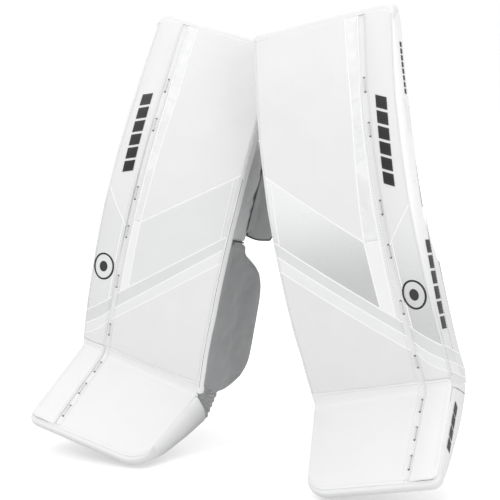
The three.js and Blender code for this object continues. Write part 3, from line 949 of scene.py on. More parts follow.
def build_face(side):
    """Panels of the face between the medial edge and the lacing, with their seams."""
    layout = LAYOUT[side]
    corner, turn_foot = layout["corner"], layout["turn_foot"]
    upper_z = layout["upper_medial_z"]
    upper = [(face_medial_x(upper_z), upper_z), corner]
    seams = [[(face_medial_x(z), z), middle, (face_lace_x(lace_z), lace_z)]
             for z, middle, lace_z in layout["lower_seams"]]
    high, mid, low = seams
    (high_z, _, high_lace_z), (mid_z, _, mid_lace_z), (low_z, _, low_lace_z) = \
        layout["lower_seams"]
    strip_x, outer_x = layout["strip_top_x"], layout["outer_top_x"]
    strip = [corner, *layout["strip"], (strip_x, face_top_z(strip_x))]
    outer = [*layout["outer"], (outer_x, face_top_z(outer_x))]
    lace_top = (face_lace_x(645), face_top_z(72))
    foot_x = outer[0][0] + 1.5
    outer_foot = (foot_x, line_at(high, foot_x))
    turn_up = [turn_foot, corner]
    outer_full = [outer_foot, *outer]

    patch(side, "face_upper", shin_surface, upper,
          level(face_top_z, face_medial_x(638), strip_x, 12),
          upright(face_medial_x, upper_z, face_top_z(-126), 12), strip, "skin",
          replaces="face_cover")
    # the left pad's glossy panel takes the lighter copy with painted reflection
    patch(side, "face_gloss", shin_surface, [high[0], turn_foot], upper,
          upright(face_medial_x, high_z, upper_z, 12), turn_up,
          "gloss_left_painted_reflection" if side == "left" else "gloss", slot="gloss_panel")
    patch(side, "face_strip", shin_surface, [corner, outer[0]], [strip[-1], outer[-1]],
          strip, outer, "strip", slot="gloss_panel", step=9)
    patch(side, "face_band_upright", shin_surface, [turn_foot, outer_foot], [corner, outer[0]],
          turn_up, outer_full[:2], "skin_bright")
    patch(side, "face_lace_margin", shin_surface, [outer_foot, high[-1]], [outer[-1], lace_top],
          outer_full, upright(face_lace_x, high_lace_z, lace_top[1]), "skin", step=9, edge=2.4)
    patch(side, "face_band_grey", shin_surface, mid, high,
          upright(face_medial_x, mid_z, high_z, 4),
          upright(face_lace_x, mid_lace_z, high_lace_z, 4), "band_dark", thick=1.3)
    patch(side, "face_band_light", shin_surface, low, mid,
          upright(face_medial_x, low_z, mid_z, 4),
          upright(face_lace_x, low_lace_z, mid_lace_z, 4), "band_light")
    foot_z = break_z(-131)
    # the left pad's lower face takes the darker copy, as painted shade
    patch(side, "face_lower", shin_surface,
          level(break_z, face_medial_x(foot_z), face_lace_x(20), 10), low,
          upright(face_medial_x, foot_z, low_z, 12),
          upright(face_lace_x, break_z(75), low_lace_z),
          "skin_painted_shade" if side == "left" else "skin")
    # narrow dark band down the medial edge beside the glossy panel: painted shade beside the edge
    upper_x, lower_x = upper[0][0] + 10.5, high[0][0] + 8.0
    inner = [(lower_x, line_at(high, lower_x)), (upper_x, line_at(upper, upper_x))]
    patch(side, "face_edge_band", shin_surface, [high[0], inner[0]], [upper[0], inner[1]],
          upright(face_medial_x, high_z, upper_z, 12), inner, "face_edge",
          thick=0.8, base=1.35, edge=1.6, step=5)
    piping = [seam_line(shin_surface, inner, 2.6, 0.8, -1.9)]
    piping += [seam_line(shin_surface, line, 3.1, 0.8, -0.95)
               for line in (upper, *seams, turn_up[::-1], strip, outer_full)]
    emit_pile(side, "face_seam_piping", piping, "piping", "face_leather")
    z = np.linspace(break_z(70) + 3, 640, 60)
    stitches = stitch_line(shin_surface, columns(face_lace_x(z) - 3.2, z), -1.25)
    stitches += stitch_line(roll_surface, columns(roll_lace_x(z) + 3.0, z), -1.2)
    emit_pile(side, "lace_seam_stitches", stitches, "stitch", "lace_cord")


# ------------------------------------------------------------------ outer roll and lacing
# (radius, height) rows of a black disc that stands in for the shade inside a punched lace hole
HOLE_SHADE_DISC_PROFILE = [(0.8, -0.1), (1.1, 0.25), (1.6, 0.45), (1.95, 0.2), (2.0, -1.4)]
LACE_RADIUS = 0.95
LACE_SHARES = np.linspace(0, 1, 12)
LACE_ARCH = -0.3 - 0.5 * np.sin(pi * LACE_SHARES) ** 0.5
# z of the two eyelets of each run of lace on the shin, and their distance down the boot
LACE_RUNS = [(544.8, 523.1), (473.2, 452.0), (345.6, 322.9), (270.4, 248.8), (171.6, 148.6),
             (70.0, 48.3)]
BOOT_LACE_RUNS = [(21.3, 45.8), (78.1, 102.9), (135.2, 161.6)]


def channel(surface, x, heights):
    """Floor of the lacing channel, slightly hollow."""
    across = np.linspace(-1, 1, 5)[:, None]
    hollow = 0.1 + 0.5 * (1 - across * across)
    x = x + across * (GROOVE + 0.8)
    return grid_solid(surface(x, heights, hollow), surface(x, heights, hollow + 1.0))


# A black disc over a lace hole: painted shade for the inside of the punched hole
def hole_shade_disc(surface, x, height, offset):
    points, normals = normals_of(surface, [(x, height)], offset)
    return lathe(points[0], normals[0], HOLE_SHADE_DISC_PROFILE)


def build_roll(side):
    """Panels of the outer roll of the shin, and the lacing beside it."""
    ridge_z, bend = 336.7, (82.7, 279.1)
    ridge_point = (roll_ridge_x(ridge_z), ridge_z)
    gloss_foot = (87.2, 121.3)
    start_z = 271.0
    inner = upright(roll_lace_x, start_z, face_top_z(82))
    ridge_line = [(roll_ridge_x(z), z) for z in (ridge_z, 450, 500, 560, 600)]
    ridge_line.append((roll_ridge_x(640), face_top_z(131.8)))
    diagonal = [tuple(inner[0]), bend, ridge_point]
    gloss_side = [gloss_foot, bend]
    high = [(roll_lace_x(127), 127.5), gloss_foot, (132.8, 85.7)]
    mid = [(roll_lace_x(100), 98), (92, 87), (110, 73), (133.2, 57)]
    low = [(roll_lace_x(76), 77), (98, 59.5), (116, 46), (133.4, 36)]
    patch(side, "roll_upper", roll_surface, diagonal,
          level(face_top_z, inner[-1, 0], ridge_line[-1][0], 12), inner, ridge_line, "skin",
          puff=1.0, replaces="outer_roll_upper")
    # the left pad's roll takes the copy with painted reflection
    patch(side, "roll_gloss", roll_surface, [gloss_foot, (132.6, 85.7)], [bend, ridge_point],
          gloss_side, upright(roll_ridge_x, 85.7, ridge_z),
          "gloss_roll_painted_reflection" if side == "left" else "gloss", slot="gloss_panel", puff=0.8,
          replaces="outer_roll_lower")
    patch(side, "roll_margin", roll_surface, high[:2], diagonal[:2],
          upright(roll_lace_x, 127.5, start_z), gloss_side, "skin", edge=2.4)
    patch(side, "roll_band_grey", roll_surface, mid, high, upright(roll_lace_x, 98, 127.5, 4),
          upright(roll_ridge_x, 57, 85.7, 4), "band_dark", thick=1.3)
    patch(side, "roll_band_light", roll_surface, low, mid, upright(roll_lace_x, 77, 98, 4),
          upright(roll_ridge_x, 36, 57, 4), "band_light")
    foot = level(break_z, roll_lace_x(20), 133.2, 10)
    patch(side, "roll_lower", roll_surface, foot, low, upright(roll_lace_x, foot[0, 1], 77, 5),
          upright(roll_ridge_x, foot[-1, 1], 36, 4), "skin")
    piping = [seam_line(roll_surface, line, 3.0, 0.8, -0.95)
              for line in (diagonal, gloss_side, high, mid, low)]
    emit_pile(side, "roll_seam_piping", piping, "piping", "face_leather")

    z = np.linspace(break_z(79) - 0.4, 644.5, 70)
    emit(side, "lace_channel", channel(plain_surface, lace_x(z), z), "skin", "face_leather")
    holes = [hole_shade_disc(plain_surface, lace_x(z), z, 0.2) for run in LACE_RUNS for z in run]
    # the ends of each run dip into the holes
    offsets = LACE_ARCH.copy()
    offsets[[0, -1]] += 1.2
    cords = []
    for start, end in LACE_RUNS:
        z = np.linspace(start, end, len(LACE_SHARES))
        cords.append(tube(plain_surface(lace_x(z), z, offsets), LACE_RADIUS))
    emit_pile(side, "lace_holes", holes, "hole", "lace_cord")
    emit_pile(side, "lace_runs", cords, "lace", "lace_cord", replaces="roll_lace")


# ------------------------------------------------------------------ boot
TOE_RADIUS_X, TOE_RADIUS_DOWN = 47.0, 41.0   # medial corner of the toe
TOE_CORNER = 13.0                            # outer corner of the toe
TOE_MEDIAL_START = toe_seam(-116) - TOE_RADIUS_DOWN
TOE_OUTER = toe_seam(128)
TOE_DEPTH = 20.5
# Boot and shin with two points between them, given as blend to the skin pieces at the fold
FLEX = ("boot", "shin", boot_point(0, 34, 0), (0, 0, 34))


def rim_sections():
    """Outline of the boot face as (x, down): medial side, toe, outer side."""
    down = np.linspace(0, TOE_MEDIAL_START, 16)
    medial = columns(rim_medial_x(down), down)
    centre_x = rim_medial_x(TOE_MEDIAL_START) + TOE_RADIUS_X
    angles = np.radians(np.linspace(0, 90, 19)[1:])
    big_corner = columns(centre_x - TOE_RADIUS_X * np.cos(angles),
                         TOE_MEDIAL_START + TOE_RADIUS_DOWN * np.sin(angles))
    corner_x = rim_outer_x(TOE_OUTER) - TOE_CORNER
    front = np.linspace(big_corner[-1], (corner_x, TOE_OUTER), 14)[1:]
    front[:, 0] = np.linspace(centre_x, corner_x, 14)[1:]
    angles = np.radians(np.linspace(0, 90, 7)[1:])
    small_corner = columns(corner_x + TOE_CORNER * np.sin(angles),
                           TOE_OUTER - TOE_CORNER + TOE_CORNER * np.cos(angles))
    down = np.linspace(TOE_OUTER - TOE_CORNER, 0, 16)[1:]
    outer = columns(rim_outer_x(down), down)
    return medial, np.concatenate([big_corner, front, small_corner]), outer


RIM_SECTIONS = rim_sections()
RIM = np.concatenate(RIM_SECTIONS)
RIM_SKIN = RIM * [1, -1]                     # the same points for fold_surface
MEDIAL_END = len(RIM_SECTIONS[0]) - 1
OUTER_START = MEDIAL_END + 1 + len(RIM_SECTIONS[1])


def rim_grid(inset):
    """Walls round the boot face: one row per rim point, running back from the face."""
    tangents = unit(np.gradient(RIM, axis=0))
    share = np.linspace(0, 1, 12) ** 1.25
    grid = []
    for i, (x, down) in enumerate(RIM):
        out_x, out_down = -tangents[i, 1], tangents[i, 0]
        if out_x * x < 0 and abs(out_down) < 0.5:
            out_x, out_down = -out_x, -out_down
        if out_down < -0.2:
            out_x, out_down = -out_x, -out_down
        medial, toe = x < 0, MEDIAL_END < i < OUTER_START
        forward = min(abs(out_down), 1)
        bulge = 2.6 + (9.0 - 2.6) * forward
        wall = TOE_DEPTH
        if x < -90:
            wall = medial_wall_depth(down)
        elif x > 100:
            wall = outer_wall_depth(down)
        if toe:
            wall = TOE_DEPTH + (wall - TOE_DEPTH) * (1 - forward)
        depth = 0.2 + wall * share
        start = down
        if toe:
            out = bulge * (1 - abs(2 * share ** 0.8 - 1) ** 3.2) ** 0.5
        else:
            near_toe = np.clip((down - 60) / 75.0 if medial else (down - 150) / 30.0, 0, 1)
            out = bulge * (1 - (1 - np.minimum(1, depth / 9.0)) ** 2) ** 0.5
            out = out * np.where(share < 0.97, 1.0, 0.55)
            out = out + (7.0 if medial else 2.6) * np.sin(pi * share) * (1 - near_toe)
            lead = 1 - min(1.0, max(0.0, down / 150.0))
            start = down + boot_edge(depth, 58.0 if medial else 43.0) * lead + 0.6
        out = out - inset
        grid.append(boot_point(x + out_x * out, start + out_down * out, depth))
    return np.array(grid)


def build_boot_skin(side):
    """The skin from the stitched break line over the fold and down to the toe seam."""
    to_lace = abs(RIM[:, 0] - (boot_lace_x(188) - GROOVE)) + 1e3 * (RIM[:, 1] < 150)
    lace_index = int(np.argmin(to_lace))
    toe = RIM[lace_index, 1]
    down = np.linspace(toe, 0, 12)
    lace_line_x = boot_lace_x(down)
    medial_top = (face_medial_x(break_z(-131)), break_run(-131))
    left = np.concatenate([RIM_SKIN[:MEDIAL_END + 1][::-1], [medial_top]])
    bottom = np.concatenate([RIM_SKIN[MEDIAL_END:lace_index],
                             [(boot_lace_x(toe) - GROOVE, -toe)]])
    top_x = boot_lace_x(0) - GROOVE
    right = np.concatenate([columns(lace_line_x - GROOVE, -down), [(top_x, break_run(top_x))]])
    top = [medial_top, (-60, break_run(-60)), (10, break_run(10)), right[-1]]
    patch(side, "boot_skin", fold_surface, bottom, top, left, right, "boot", step=6.5, puff=0.8,
          blend=FLEX, replaces="boot_cover")
    # outer roll
    inner_x, outer_x = roll_lace_x(18), 133.2
    left = np.concatenate([columns(lace_line_x + GROOVE, -down), [(inner_x, break_run(inner_x))]])
    left[0, 1] = -toe_seam(left[0, 0])
    right = np.concatenate([RIM_SKIN[OUTER_START:], [(outer_x, break_run(outer_x))]])
    right[:, 0] = np.minimum(right[:, 0], 133.4)
    bottom = np.concatenate([left[:1], RIM_SKIN[OUTER_START - 6:OUTER_START + 1]])
    patch(side, "boot_roll_skin", boot_roll_surface, bottom, [left[-1], right[-1]], left, right,
          "boot", step=6.5, blend=FLEX, replaces="boot_roll")


def build_boot_walls(side):
    """Side walls and toe edge, with their piping, the break welt and the back binding."""
    inside = rim_grid(2.2)
    walls = [  # name, rows of the rim, inset, material, replaced piece, slot
        ("boot_medial_wall", slice(0, MEDIAL_END + 1), 0.0, "boot_wall", "boot_medial_gusset",
         "side_leather"),
        ("boot_toe_edge", slice(MEDIAL_END - 1, OUTER_START + 2), 0.2, "side", "toe_edge",
         "edge_leather"),
        ("boot_outer_wall", slice(OUTER_START, None), 0.0, "side", "boot_outer_gusset",
         "side_leather"),
    ]
    for name, rows, inset, material, replaced, slot in walls:
        emit(side, name, grid_solid(rim_grid(inset)[rows], inside[rows]), material, slot,
             body="boot", replaces=replaced, subdivide=1)
    points, normals = normals_of(fold_surface, resample(RIM_SKIN[3:-3], 5), -0.2)
    emit_pile(side, "boot_seam_piping", [bead(points, normals, 2.4, 1.0, 0.8)], "edge",
              "edge_leather", body="boot")
    welts = []
    for surface, start, end, count in ((fold_surface, -130, 73, 60),
                                       (boot_roll_surface, 87, 131, 16)):
        x = np.linspace(start, end, count)
        welts.append(seam_line(surface, columns(x, break_run(x) - 0.3), 3.6, 0.4, -0.75))
    emit_pile(side, "break_welt", welts, "boot", "face_leather")
    tucked = rim_grid(3.4)[2:-2]
    path = resample(tucked[:, -1], 6)
    backward = along(tucked[:, -1] - tucked[:, -3], np.linspace(0, 1, len(path)))
    emit_pile(side, "boot_back_binding", [bead(path, backward, 3.0, 0.6, 1.4)], "binding",
              "strap_webbing", body="boot")


def build_boot_stitches(side):
    stitches = []
    # along the break line
    for surface, start, end, count, offset in ((fold_surface, -129, 72, 50, -1.4),
                                               (boot_roll_surface, 87, 130, 12, -1.2)):
        x = np.linspace(start, end, count)
        stitches += stitch_line(surface, columns(x, break_run(x) - 4.2), offset,
                                length=2.6, gap=2.2)
    # on both sides of the lacing channel
    down = np.linspace(-8, 176, 40)
    lacing = boot_lace_x(down)
    stitches += stitch_line(fold_surface, columns(lacing - GROOVE - 3.0, -down), -1.25)
    stitches += stitch_line(boot_roll_surface, columns(lacing + GROOVE + 3.0, -down), -1.2)
    # two rows along the outer edge, one along the toe
    fine = dict(length=2.8, gap=2.0, radius=0.45)
    down = np.linspace(4, 168, 40)
    for inset in (4.5, 8.0):
        line = columns(rim_outer_x(down) - inset, -down)
        stitches += stitch_line(boot_roll_surface, line, -1.2, **fine)
    toe = RIM_SKIN[MEDIAL_END + 4:OUTER_START] + [0, 4.6]
    stitches += stitch_line(fold_surface, toe, -1.3, **fine)
    emit_pile(side, "boot_stitches", stitches, "stitch", "lace_cord", blend=FLEX)


def build_boot_lacing(side):
    down = np.linspace(-17.2, toe_seam(73) - 0.6, 44)
    emit(side, "boot_lace_channel", channel(fold_surface, boot_lace_x(down), -down), "boot",
         "face_leather", blend=FLEX)
    holes = [hole_shade_disc(fold_surface, boot_lace_x(down), -down, 0.0)
             for run in BOOT_LACE_RUNS for down in run]
    cords = []
    for start, end in BOOT_LACE_RUNS:
        down = np.linspace(start, end, len(LACE_SHARES))
        points, normals = normals_of(fold_surface, columns(boot_lace_x(down), -down))
        cords.append(tube(points - normals * LACE_ARCH[:, None], LACE_RADIUS))
    emit_pile(side, "boot_lace_holes", holes, "hole", "lace_cord", body="boot")
    emit_pile(side, "boot_lace_runs", cords, "lace", "lace_cord", body="boot",
              replaces="boot_lace")


def boot_plate(near, far, inset):
    """A plate between two depths that follows the rounded toe."""
    across = np.linspace(0, 1, 16)[:, None]
    share = np.r_[np.linspace(0, 0.66, 9), 0.68 + 0.32 * np.sin(np.linspace(0.06, 1, 16) * pi / 2)]
    grids = []
    for depth in (near, far):
        start = boot_edge(depth, 35) + 0.3
        down = start + (179.0 - start) * share
        below = np.maximum(0.0, down)
        left = rim_medial_x(np.minimum(below, TOE_MEDIAL_START)) + inset
        left = left + (TOE_RADIUS_X / TOE_RADIUS_DOWN
                       * corner_drop(below - TOE_MEDIAL_START, TOE_RADIUS_DOWN))
        right = rim_outer_x(below) - inset
        right = right - corner_drop(below - (TOE_OUTER - TOE_CORNER), TOE_CORNER)
        grids.append(boot_point(left + (right - left) * across, down, depth))
    return grid_solid(*grids)


def build_boot(side):
    build_boot_skin(side)
    build_boot_walls(side)
    build_boot_stitches(side)
    build_boot_lacing(side)
    emit(side, "boot_core_foam", boot_plate(near=3.4, far=21.9, inset=8.2), "foam", "core_foam",
         body="boot", replaces="boot_core")
    emit(side, "boot_back_cover", boot_plate(near=22.35, far=21.95, inset=5.0), "cover",
         "wing_nylon", body="boot")


# ------------------------------------------------------------------ edges and walls of the shin
# (x from the medial edge, depth) round the medial strip
MEDIAL_PROFILE = [(3.2, 0.6), (1.4, 0.1), (0.0, 1.0), (-0.9, 3.4), (-1.1, 8), (-1.1, 17),
                  (-0.7, 22), (0.6, 24.6), (3.0, 25.2)]
# (depth, height from the crest) over the top edge
TOP_PROFILE = [(-1.4, -5.2), (-1.8, -3.6), (-1.2, -1.2), (0.6, 0.6), (4, 1.3), (12, 1.5),
               (20, 1.2), (24.4, 0), (26, -3), (26.2, -8)]


def build_medial_edge(side):
    front, back = [], []
    for shift, y in MEDIAL_PROFILE:
        low = FOLD_SLOPE * -134 + ANKLE_GAP - y * tan(radians(14)) + (1.0 if y > 3 else 3.0)
        z = low + (641 - low) * np.linspace(0, 1, 60)
        x = medial_x(z) + shift + 0.25 * waves(y * 3, z, 3, 50)
        inward = 1.2 if shift >= 3 else 2.0
        lift = 1.2 if y < 2 else -1.0 if y > 23 else 0
        front.append(plain_surface(x, z, y))
        back.append(plain_surface(x + inward, z, y + lift))
    emit(side, "medial_edge_strip_skin", grid_solid(front, back), "edge", "edge_leather",
         replaces="medial_edge_strip")
    z = np.linspace(8, 640, 90)
    emit_pile(side, "medial_edge_piping", [tube(plain_surface(medial_x(z) + 2.8, z, -0.6), 0.95, 8)],
              "side", "edge_leather")
    # dark bead beside the front of the medial edge: painted shadow of the seam
    z = np.linspace(6, 412, 70)
    seam = bead(plain_surface(medial_x(z) - 0.35, z, 1.9), (-0.93, -0.36, 0), 1.5, 0.3, 0.6)
    emit_pile(side, "medial_edge_seam", [seam], "shade", "edge_leather")


def build_outer_wall(side):
    """The wall from the ridge round to the side and back to its rear edge."""
    up = np.linspace(0, 1, 70)
    front, back = [], []
    for share in np.linspace(0, 1, 20):
        turning = share < 0.3
        z = 5 + (640 - 5) * up
        # the outline depends on the height, so it is settled in a few rounds
        for _ in range(3):
            if turning:
                angle = share / 0.3 * pi / 2
                ridge, rise = ridge_x(z), roll_rise(z)
                x = ridge + (WALL_X - ridge) * sin(angle)
                y = -rise - 0.8 + (9 + rise) * (1 - cos(angle))
            else:
                flat = (share - 0.3) / 0.7
                y = 8.2 + (side_depth(z) - 8.2) * flat
                x = WALL_X + 0.7 * sin(pi * flat) - 5.5 * max(0, (flat - 0.82) / 0.18) ** 2
            low = shin_end(136, y) + np.where(y < 0, 3.5, 0.6)
            high = cap_z(np.minimum(x, 137.3)) - 3.6
            high = high + 2.8 * min(1.0, max(0.0, (share - 0.12) / 0.18))
            z = low + (high - low) * up
        x = x + 0.3 * waves(y * 2.0, z, 6, 60)
        front.append(plain_surface(x, z, y))
        back.append(plain_surface(x - 2.6, z, y + (1.0 if turning else 0)))
    emit(side, "outer_wall_skin", grid_solid(front, back), "wall", "side_leather",
         replaces="outer_side_wall")


def build_calf_gusset(side):
    """A soft wedge behind the lower part of the outer wall."""
    up = np.linspace(0, 1, 40)
    front, back = [], []
    for share in np.linspace(0, 1, 16):
        z = -20 + 320 * up
        for _ in range(3):
            depth = gusset_depth(z)
            start = np.minimum(37.0, depth - 3.0)
            y = start + (depth - start) * share
            low = shin_end(134, y) + 1.2
            z = low + (299 - low) * up
        x = 135.6 + 1.6 * sin(pi * min(1, share * 1.05))
        x = x - 7.5 * max(0, (share - 0.78) / 0.22) ** 2 + 0.5 * waves(y, z, 9, 45)
        front.append(plain_surface(x, z, y))
        back.append(plain_surface(x - 3.0, z, y - 0.4))
    emit(side, "calf_gusset_skin", grid_solid(front, back), "wall", "side_leather",
         replaces="calf_gusset")


def build_wall_trim(side):
    """Piping and stitches of the ridge, the outer wall and the medial edge."""
    z = np.linspace(24, 638, 90)
    ridge = tube(plain_surface(ridge_x(z) - 0.2, z, -roll_rise(z) - 1.2), 1.15, 8)
    emit_pile(side, "ridge_piping", [ridge], "side", "side_leather")
    piping = []
    for start_z, end_z in ((504, 479), (454, 427), (371, 358)):
        y = np.linspace(1, side_depth(end_z) - 3, 14)
        path = plain_surface(137.4, np.linspace(start_z, end_z, 14), y)
        path[:3, 0] -= [2.2, 1.0, 0.3]
        piping.append(bead(path, (1.0, 0, 0), 2.4, 0.9, 0.8))
    piping.append(tube(plain_surface(136.6, np.linspace(14, 296, 50), 37.4), 1.1, 8))
    emit_pile(side, "outer_wall_piping", piping, "piping", "side_leather")
    z = np.linspace(8, 640, 90)
    stitches = stitch_row(plain_surface(medial_x(z) - 1.1, z, 20.2), (-1.0, 0, 0), lift=0.2)
    z = np.linspace(26, 330, 80)
    ridge_row = plain_surface(ridge_x(z) + 2.6, z, -roll_rise(z) * 0.75 + 1.2)
    stitches += stitch_row(ridge_row, (0.75, -0.66, 0), lift=0.4)
    stitches += stitch_row(plain_surface(137.6, np.linspace(30, 290, 60), 33.0), (1.0, 0, 0))
    emit_pile(side, "side_wall_stitches", stitches, "stitch", "lace_cord")


# Seams that carry the two bands of the face round the side, as (depth, z)
WALL_SEAMS = [[(-1.5, 84.5), (12, 75), (38, 56)], [(-1.0, 56.5), (12, 47), (38, 29)],
              [(-0.6, 35.5), (12, 26), (38, 8)]]
GUSSET_SEAMS = [((38.5, 55.6), (69, 34)), ((38.5, 28.6), (74, 3.5)), ((38.5, 7.6), (67, -11.5))]


def build_wall_bands(side):
    high, mid, low = WALL_SEAMS
    for name, bottom, top, material, thick in (
            ("wall_band_grey", mid, high, "band_dark", 0.8),
            ("wall_band_light", low, mid, "band_light", 0.9)):
        patch(side, name, wall_surface, bottom, top, [bottom[0], top[0]], [bottom[-1], top[-1]],
              material, slot="side_leather", thick=thick, base=0.25, edge=2.0, depth=0.6)
    piping = [seam_line(wall_surface, line, 2.6, 0.6, -0.7) for line in WALL_SEAMS]
    share = np.linspace(0, 1, 12)
    for start, end in GUSSET_SEAMS:
        y, z = np.linspace(start, end, 12).T
        path = plain_surface(137.0 + 0.25 * np.sin(pi * share) - 1.2 * share ** 4, z, y)
        piping.append(bead(path, (1.0, 0, 0), 2.6, 0.6, 0.9))
    emit_pile(side, "wall_band_piping", piping, "piping", "side_leather")


def build_strap_tab(side):
    """A small slanted tab between the two upper cross seams of the outer wall."""
    up, back = np.linspace(0, 1, 8)[:, None], np.linspace(0, 1, 8)[None]
    y = 10 + 20 * back
    z = 456 - (y - 1) * 0.75 + 45 * up
    x = 138.4 - 0.5 * (2 * up - 1) ** 4 - 0.5 * (2 * back - 1) ** 4
    shape = grid_solid(plain_surface(x, z, y), plain_surface(137.0, z, y))
    emit(side, "strap_tab", shape, "skin_bright", "side_leather")


def build_top_edge(side):
    corner = 118.5 + 18.9 * np.sin(np.linspace(0.05, 1, 16) * pi / 2)
    x = np.concatenate([np.linspace(medial_x(640) - 0.6, 118, 44), corner])
    crest = cap_z(x)
    front, back = [], []
    for y, rise in TOP_PROFILE:
        face, z = face_y(crest + min(0, rise)), crest + rise
        inward = 1.8 if y < 2 else -1.6 if y > 22 else 0
        front.append(columns(x, face + y, z))
        back.append(columns(x, face + y + inward, z - (1.8 if -1 < y < 25 else 0)))
    emit(side, "top_edge_skin", grid_solid(front, back), "side", "edge_leather")
    x = x[1:-2]
    path = resample(plain_surface(x, top_z(x) - 5.6, -1.6), 5)
    emit_pile(side, "top_edge_piping", [tube(path, 1.1, 8)], "edge", "edge_leather")


def build_back_cover(side):
    across, up = np.linspace(0, 1, 24)[:, None], np.linspace(0, 1, 60)[None]
    z = 300.0
    for _ in range(3):
        left = medial_x(z) + 3.2
        x = left + (131.5 - left) * across
        low = shin_end(x, 25.4) + 1.0
        z = low + (top_z(x) - 6 - low) * up
    emit(side, "back_cover", grid_solid(plain_surface(x, z, 25.08), plain_surface(x, z, 25.75)),
         "cover", "wing_nylon")


# ------------------------------------------------------------------ shapes of the soft pads
# A place function sets (across, z, thickness) of a pad in the frame of the leg pad. The cradles
# and the boot liner take the thickness in per cent.
def wing_place(x, y, degrees, inward):
    """A flat wing that starts at (x, y) and swings towards -x; inward is the sign of its inside."""
    lean, reach = sin(radians(degrees)), cos(radians(degrees))

    def place(across, z, thick):
        return columns(x - lean * across + inward * reach * thick,
                       face_y(z) + y + reach * across + inward * lean * thick, z)
    return place


def cradle_place(edge, middle, half, centre):
    """A hollow pad behind the shin, edge deep at both sides and middle deep between them."""
    def place(x, z, percent):
        top = middle + (edge - middle) * ((x - centre) / half) ** 2
        return plain_surface(x, z, BODY_BACK + 0.9 + percent / 100.0 * (top - 0.9))
    return place


def block_place(y, z, thick):
    return plain_surface(medial_x(z) + 1.0 + thick, z, y)


def liner_place(x, down, percent):
    across, share = (x + 112) / 228.0, (down + 8) / 116.0
    hollow = 7 + 20 * (2 * across - 1) ** 2 * (1 - 0.4 * share)
    return boot_point(x, down, 22.6 + percent / 100.0 * hollow)


def box(left, right, low, high, cut=6):
    """A box outline with cut corners."""
    return (rounded([(left, low + cut), (left + cut, low), (right - cut, low),
                     (right, low + cut)], 1),
            rounded([(left, high - cut), (left + cut, high), (right - cut, high),
                     (right, high - cut)], 1),
            [(left, low + cut), (left, high - cut)], [(right, low + cut), (right, high - cut)])


# Outlines are bottom, top, left and right lines of (across, z)
CALF_OUTLINE = (
    rounded([(0, -3), (22, -18), (52, -29), (87, -26), (117, -17)]),
    rounded([(0, 288), (44, 274), (58, 263), (57, 252), (82, 234), (108, 215), (128, 195)], 1),
    [(0, -3), (0, 288)],
    rounded([(117, -17), (134, -3), (143, 14), (147, 71), (148, 110), (148, 145), (141, 173),
             (128, 195)]),
)
OUTER_CALF_OUTLINE = (
    rounded([(0, 8), (46, 2), (78, 12)]),
    rounded([(0, 206), (54, 196), (84, 168)]),
    [(0, 8), (0, 206)],
    rounded([(78, 12), (92, 44), (94, 128), (84, 168)]),
)
MEDIAL_KNEE_OUTLINE = (
    rounded([(0, 283), (40, 265), (88, 254)]),
    rounded([(0, 446), (50, 444), (84, 428)]),
    [(0, 283), (0, 446)],
    rounded([(88, 254), (100, 268), (104, 330), (100, 392), (84, 428)]),
)
OUTER_KNEE_OUTLINE = (
    rounded([(0, 312), (60, 300), (104, 304)]),
    rounded([(0, 456), (60, 452), (104, 436)]),
    [(0, 312), (0, 456)],
    rounded([(104, 304), (118, 324), (120, 400), (104, 436)]),
)
BLOCK_OUTLINE = (
    rounded([(26, 293), (60, 280), (91, 271)]),
    rounded([(26, 459), (60, 460), (91, 458)]),
    [(26, 293), (26, 459)],
    rounded([(91, 271), (92.5, 300), (92.5, 430), (91, 458)]),
)

# name: place function, outline, thickness, cushion settings, binding material
WINGS = {
    "medial_calf_wing": (wing_place(-137.5, 30, 4, 1), CALF_OUTLINE, 14,
                         dict(channels=[("u", 0.52)], cap=3.5, middle=4.0), "wing_face"),
    "outer_calf_wing": (wing_place(132, 84, 38, -1), OUTER_CALF_OUTLINE, 14,
                        dict(channels=[("u", 0.5)], cap=3.5), "wing_face"),
    "medial_knee_wing": (wing_place(-136, 96, 6, 1), MEDIAL_KNEE_OUTLINE, 12,
                         dict(cap=3.0), "binding"),
    "outer_knee_wing": (wing_place(132, 46, 38, -1), OUTER_KNEE_OUTLINE, 12,
                        dict(channels=[("v", 0.5)], cap=3.0), "binding"),
}
# name, body, place function, outline, thickness, cushion settings, material, slot
INNER_PADS = [
    ("knee_block", "shin", block_place, BLOCK_OUTLINE, 42,
     dict(start=0.8, rim=30, cap=5.0), "block", "wing_nylon"),
    ("calf_cradle", "shin", cradle_place(34, 12, 114, -2), box(-114, 110, 14, 260), 100,
     dict(start=0.8, rim=30, cap=4.0, step=9, channels=[("v", 0.35), ("v", 0.68)]),
     "lining", "liner_knit"),
    ("knee_cradle", "shin", cradle_place(40, 16, 94, 2), box(-90, 94, 278, 446), 100,
     dict(start=0.8, rim=30, cap=4.0, step=9, channels=[("v", 0.5)]), "lining", "liner_knit"),
    ("thigh_pad", "shin", cradle_place(16, 10, 119, -1), box(-118, 116, 464, 626), 100,
     dict(start=0.75, rim=24, cap=3.0, step=9, channels=[("v", 0.5)]), "lining", "liner_knit"),
    ("boot_liner", "boot", liner_place, box(-110, 114, -6, 106), 100,
     dict(start=0.8, rim=24, cap=3.0, step=9, channels=[("v", 0.5)]), "lining", "liner_knit"),
]


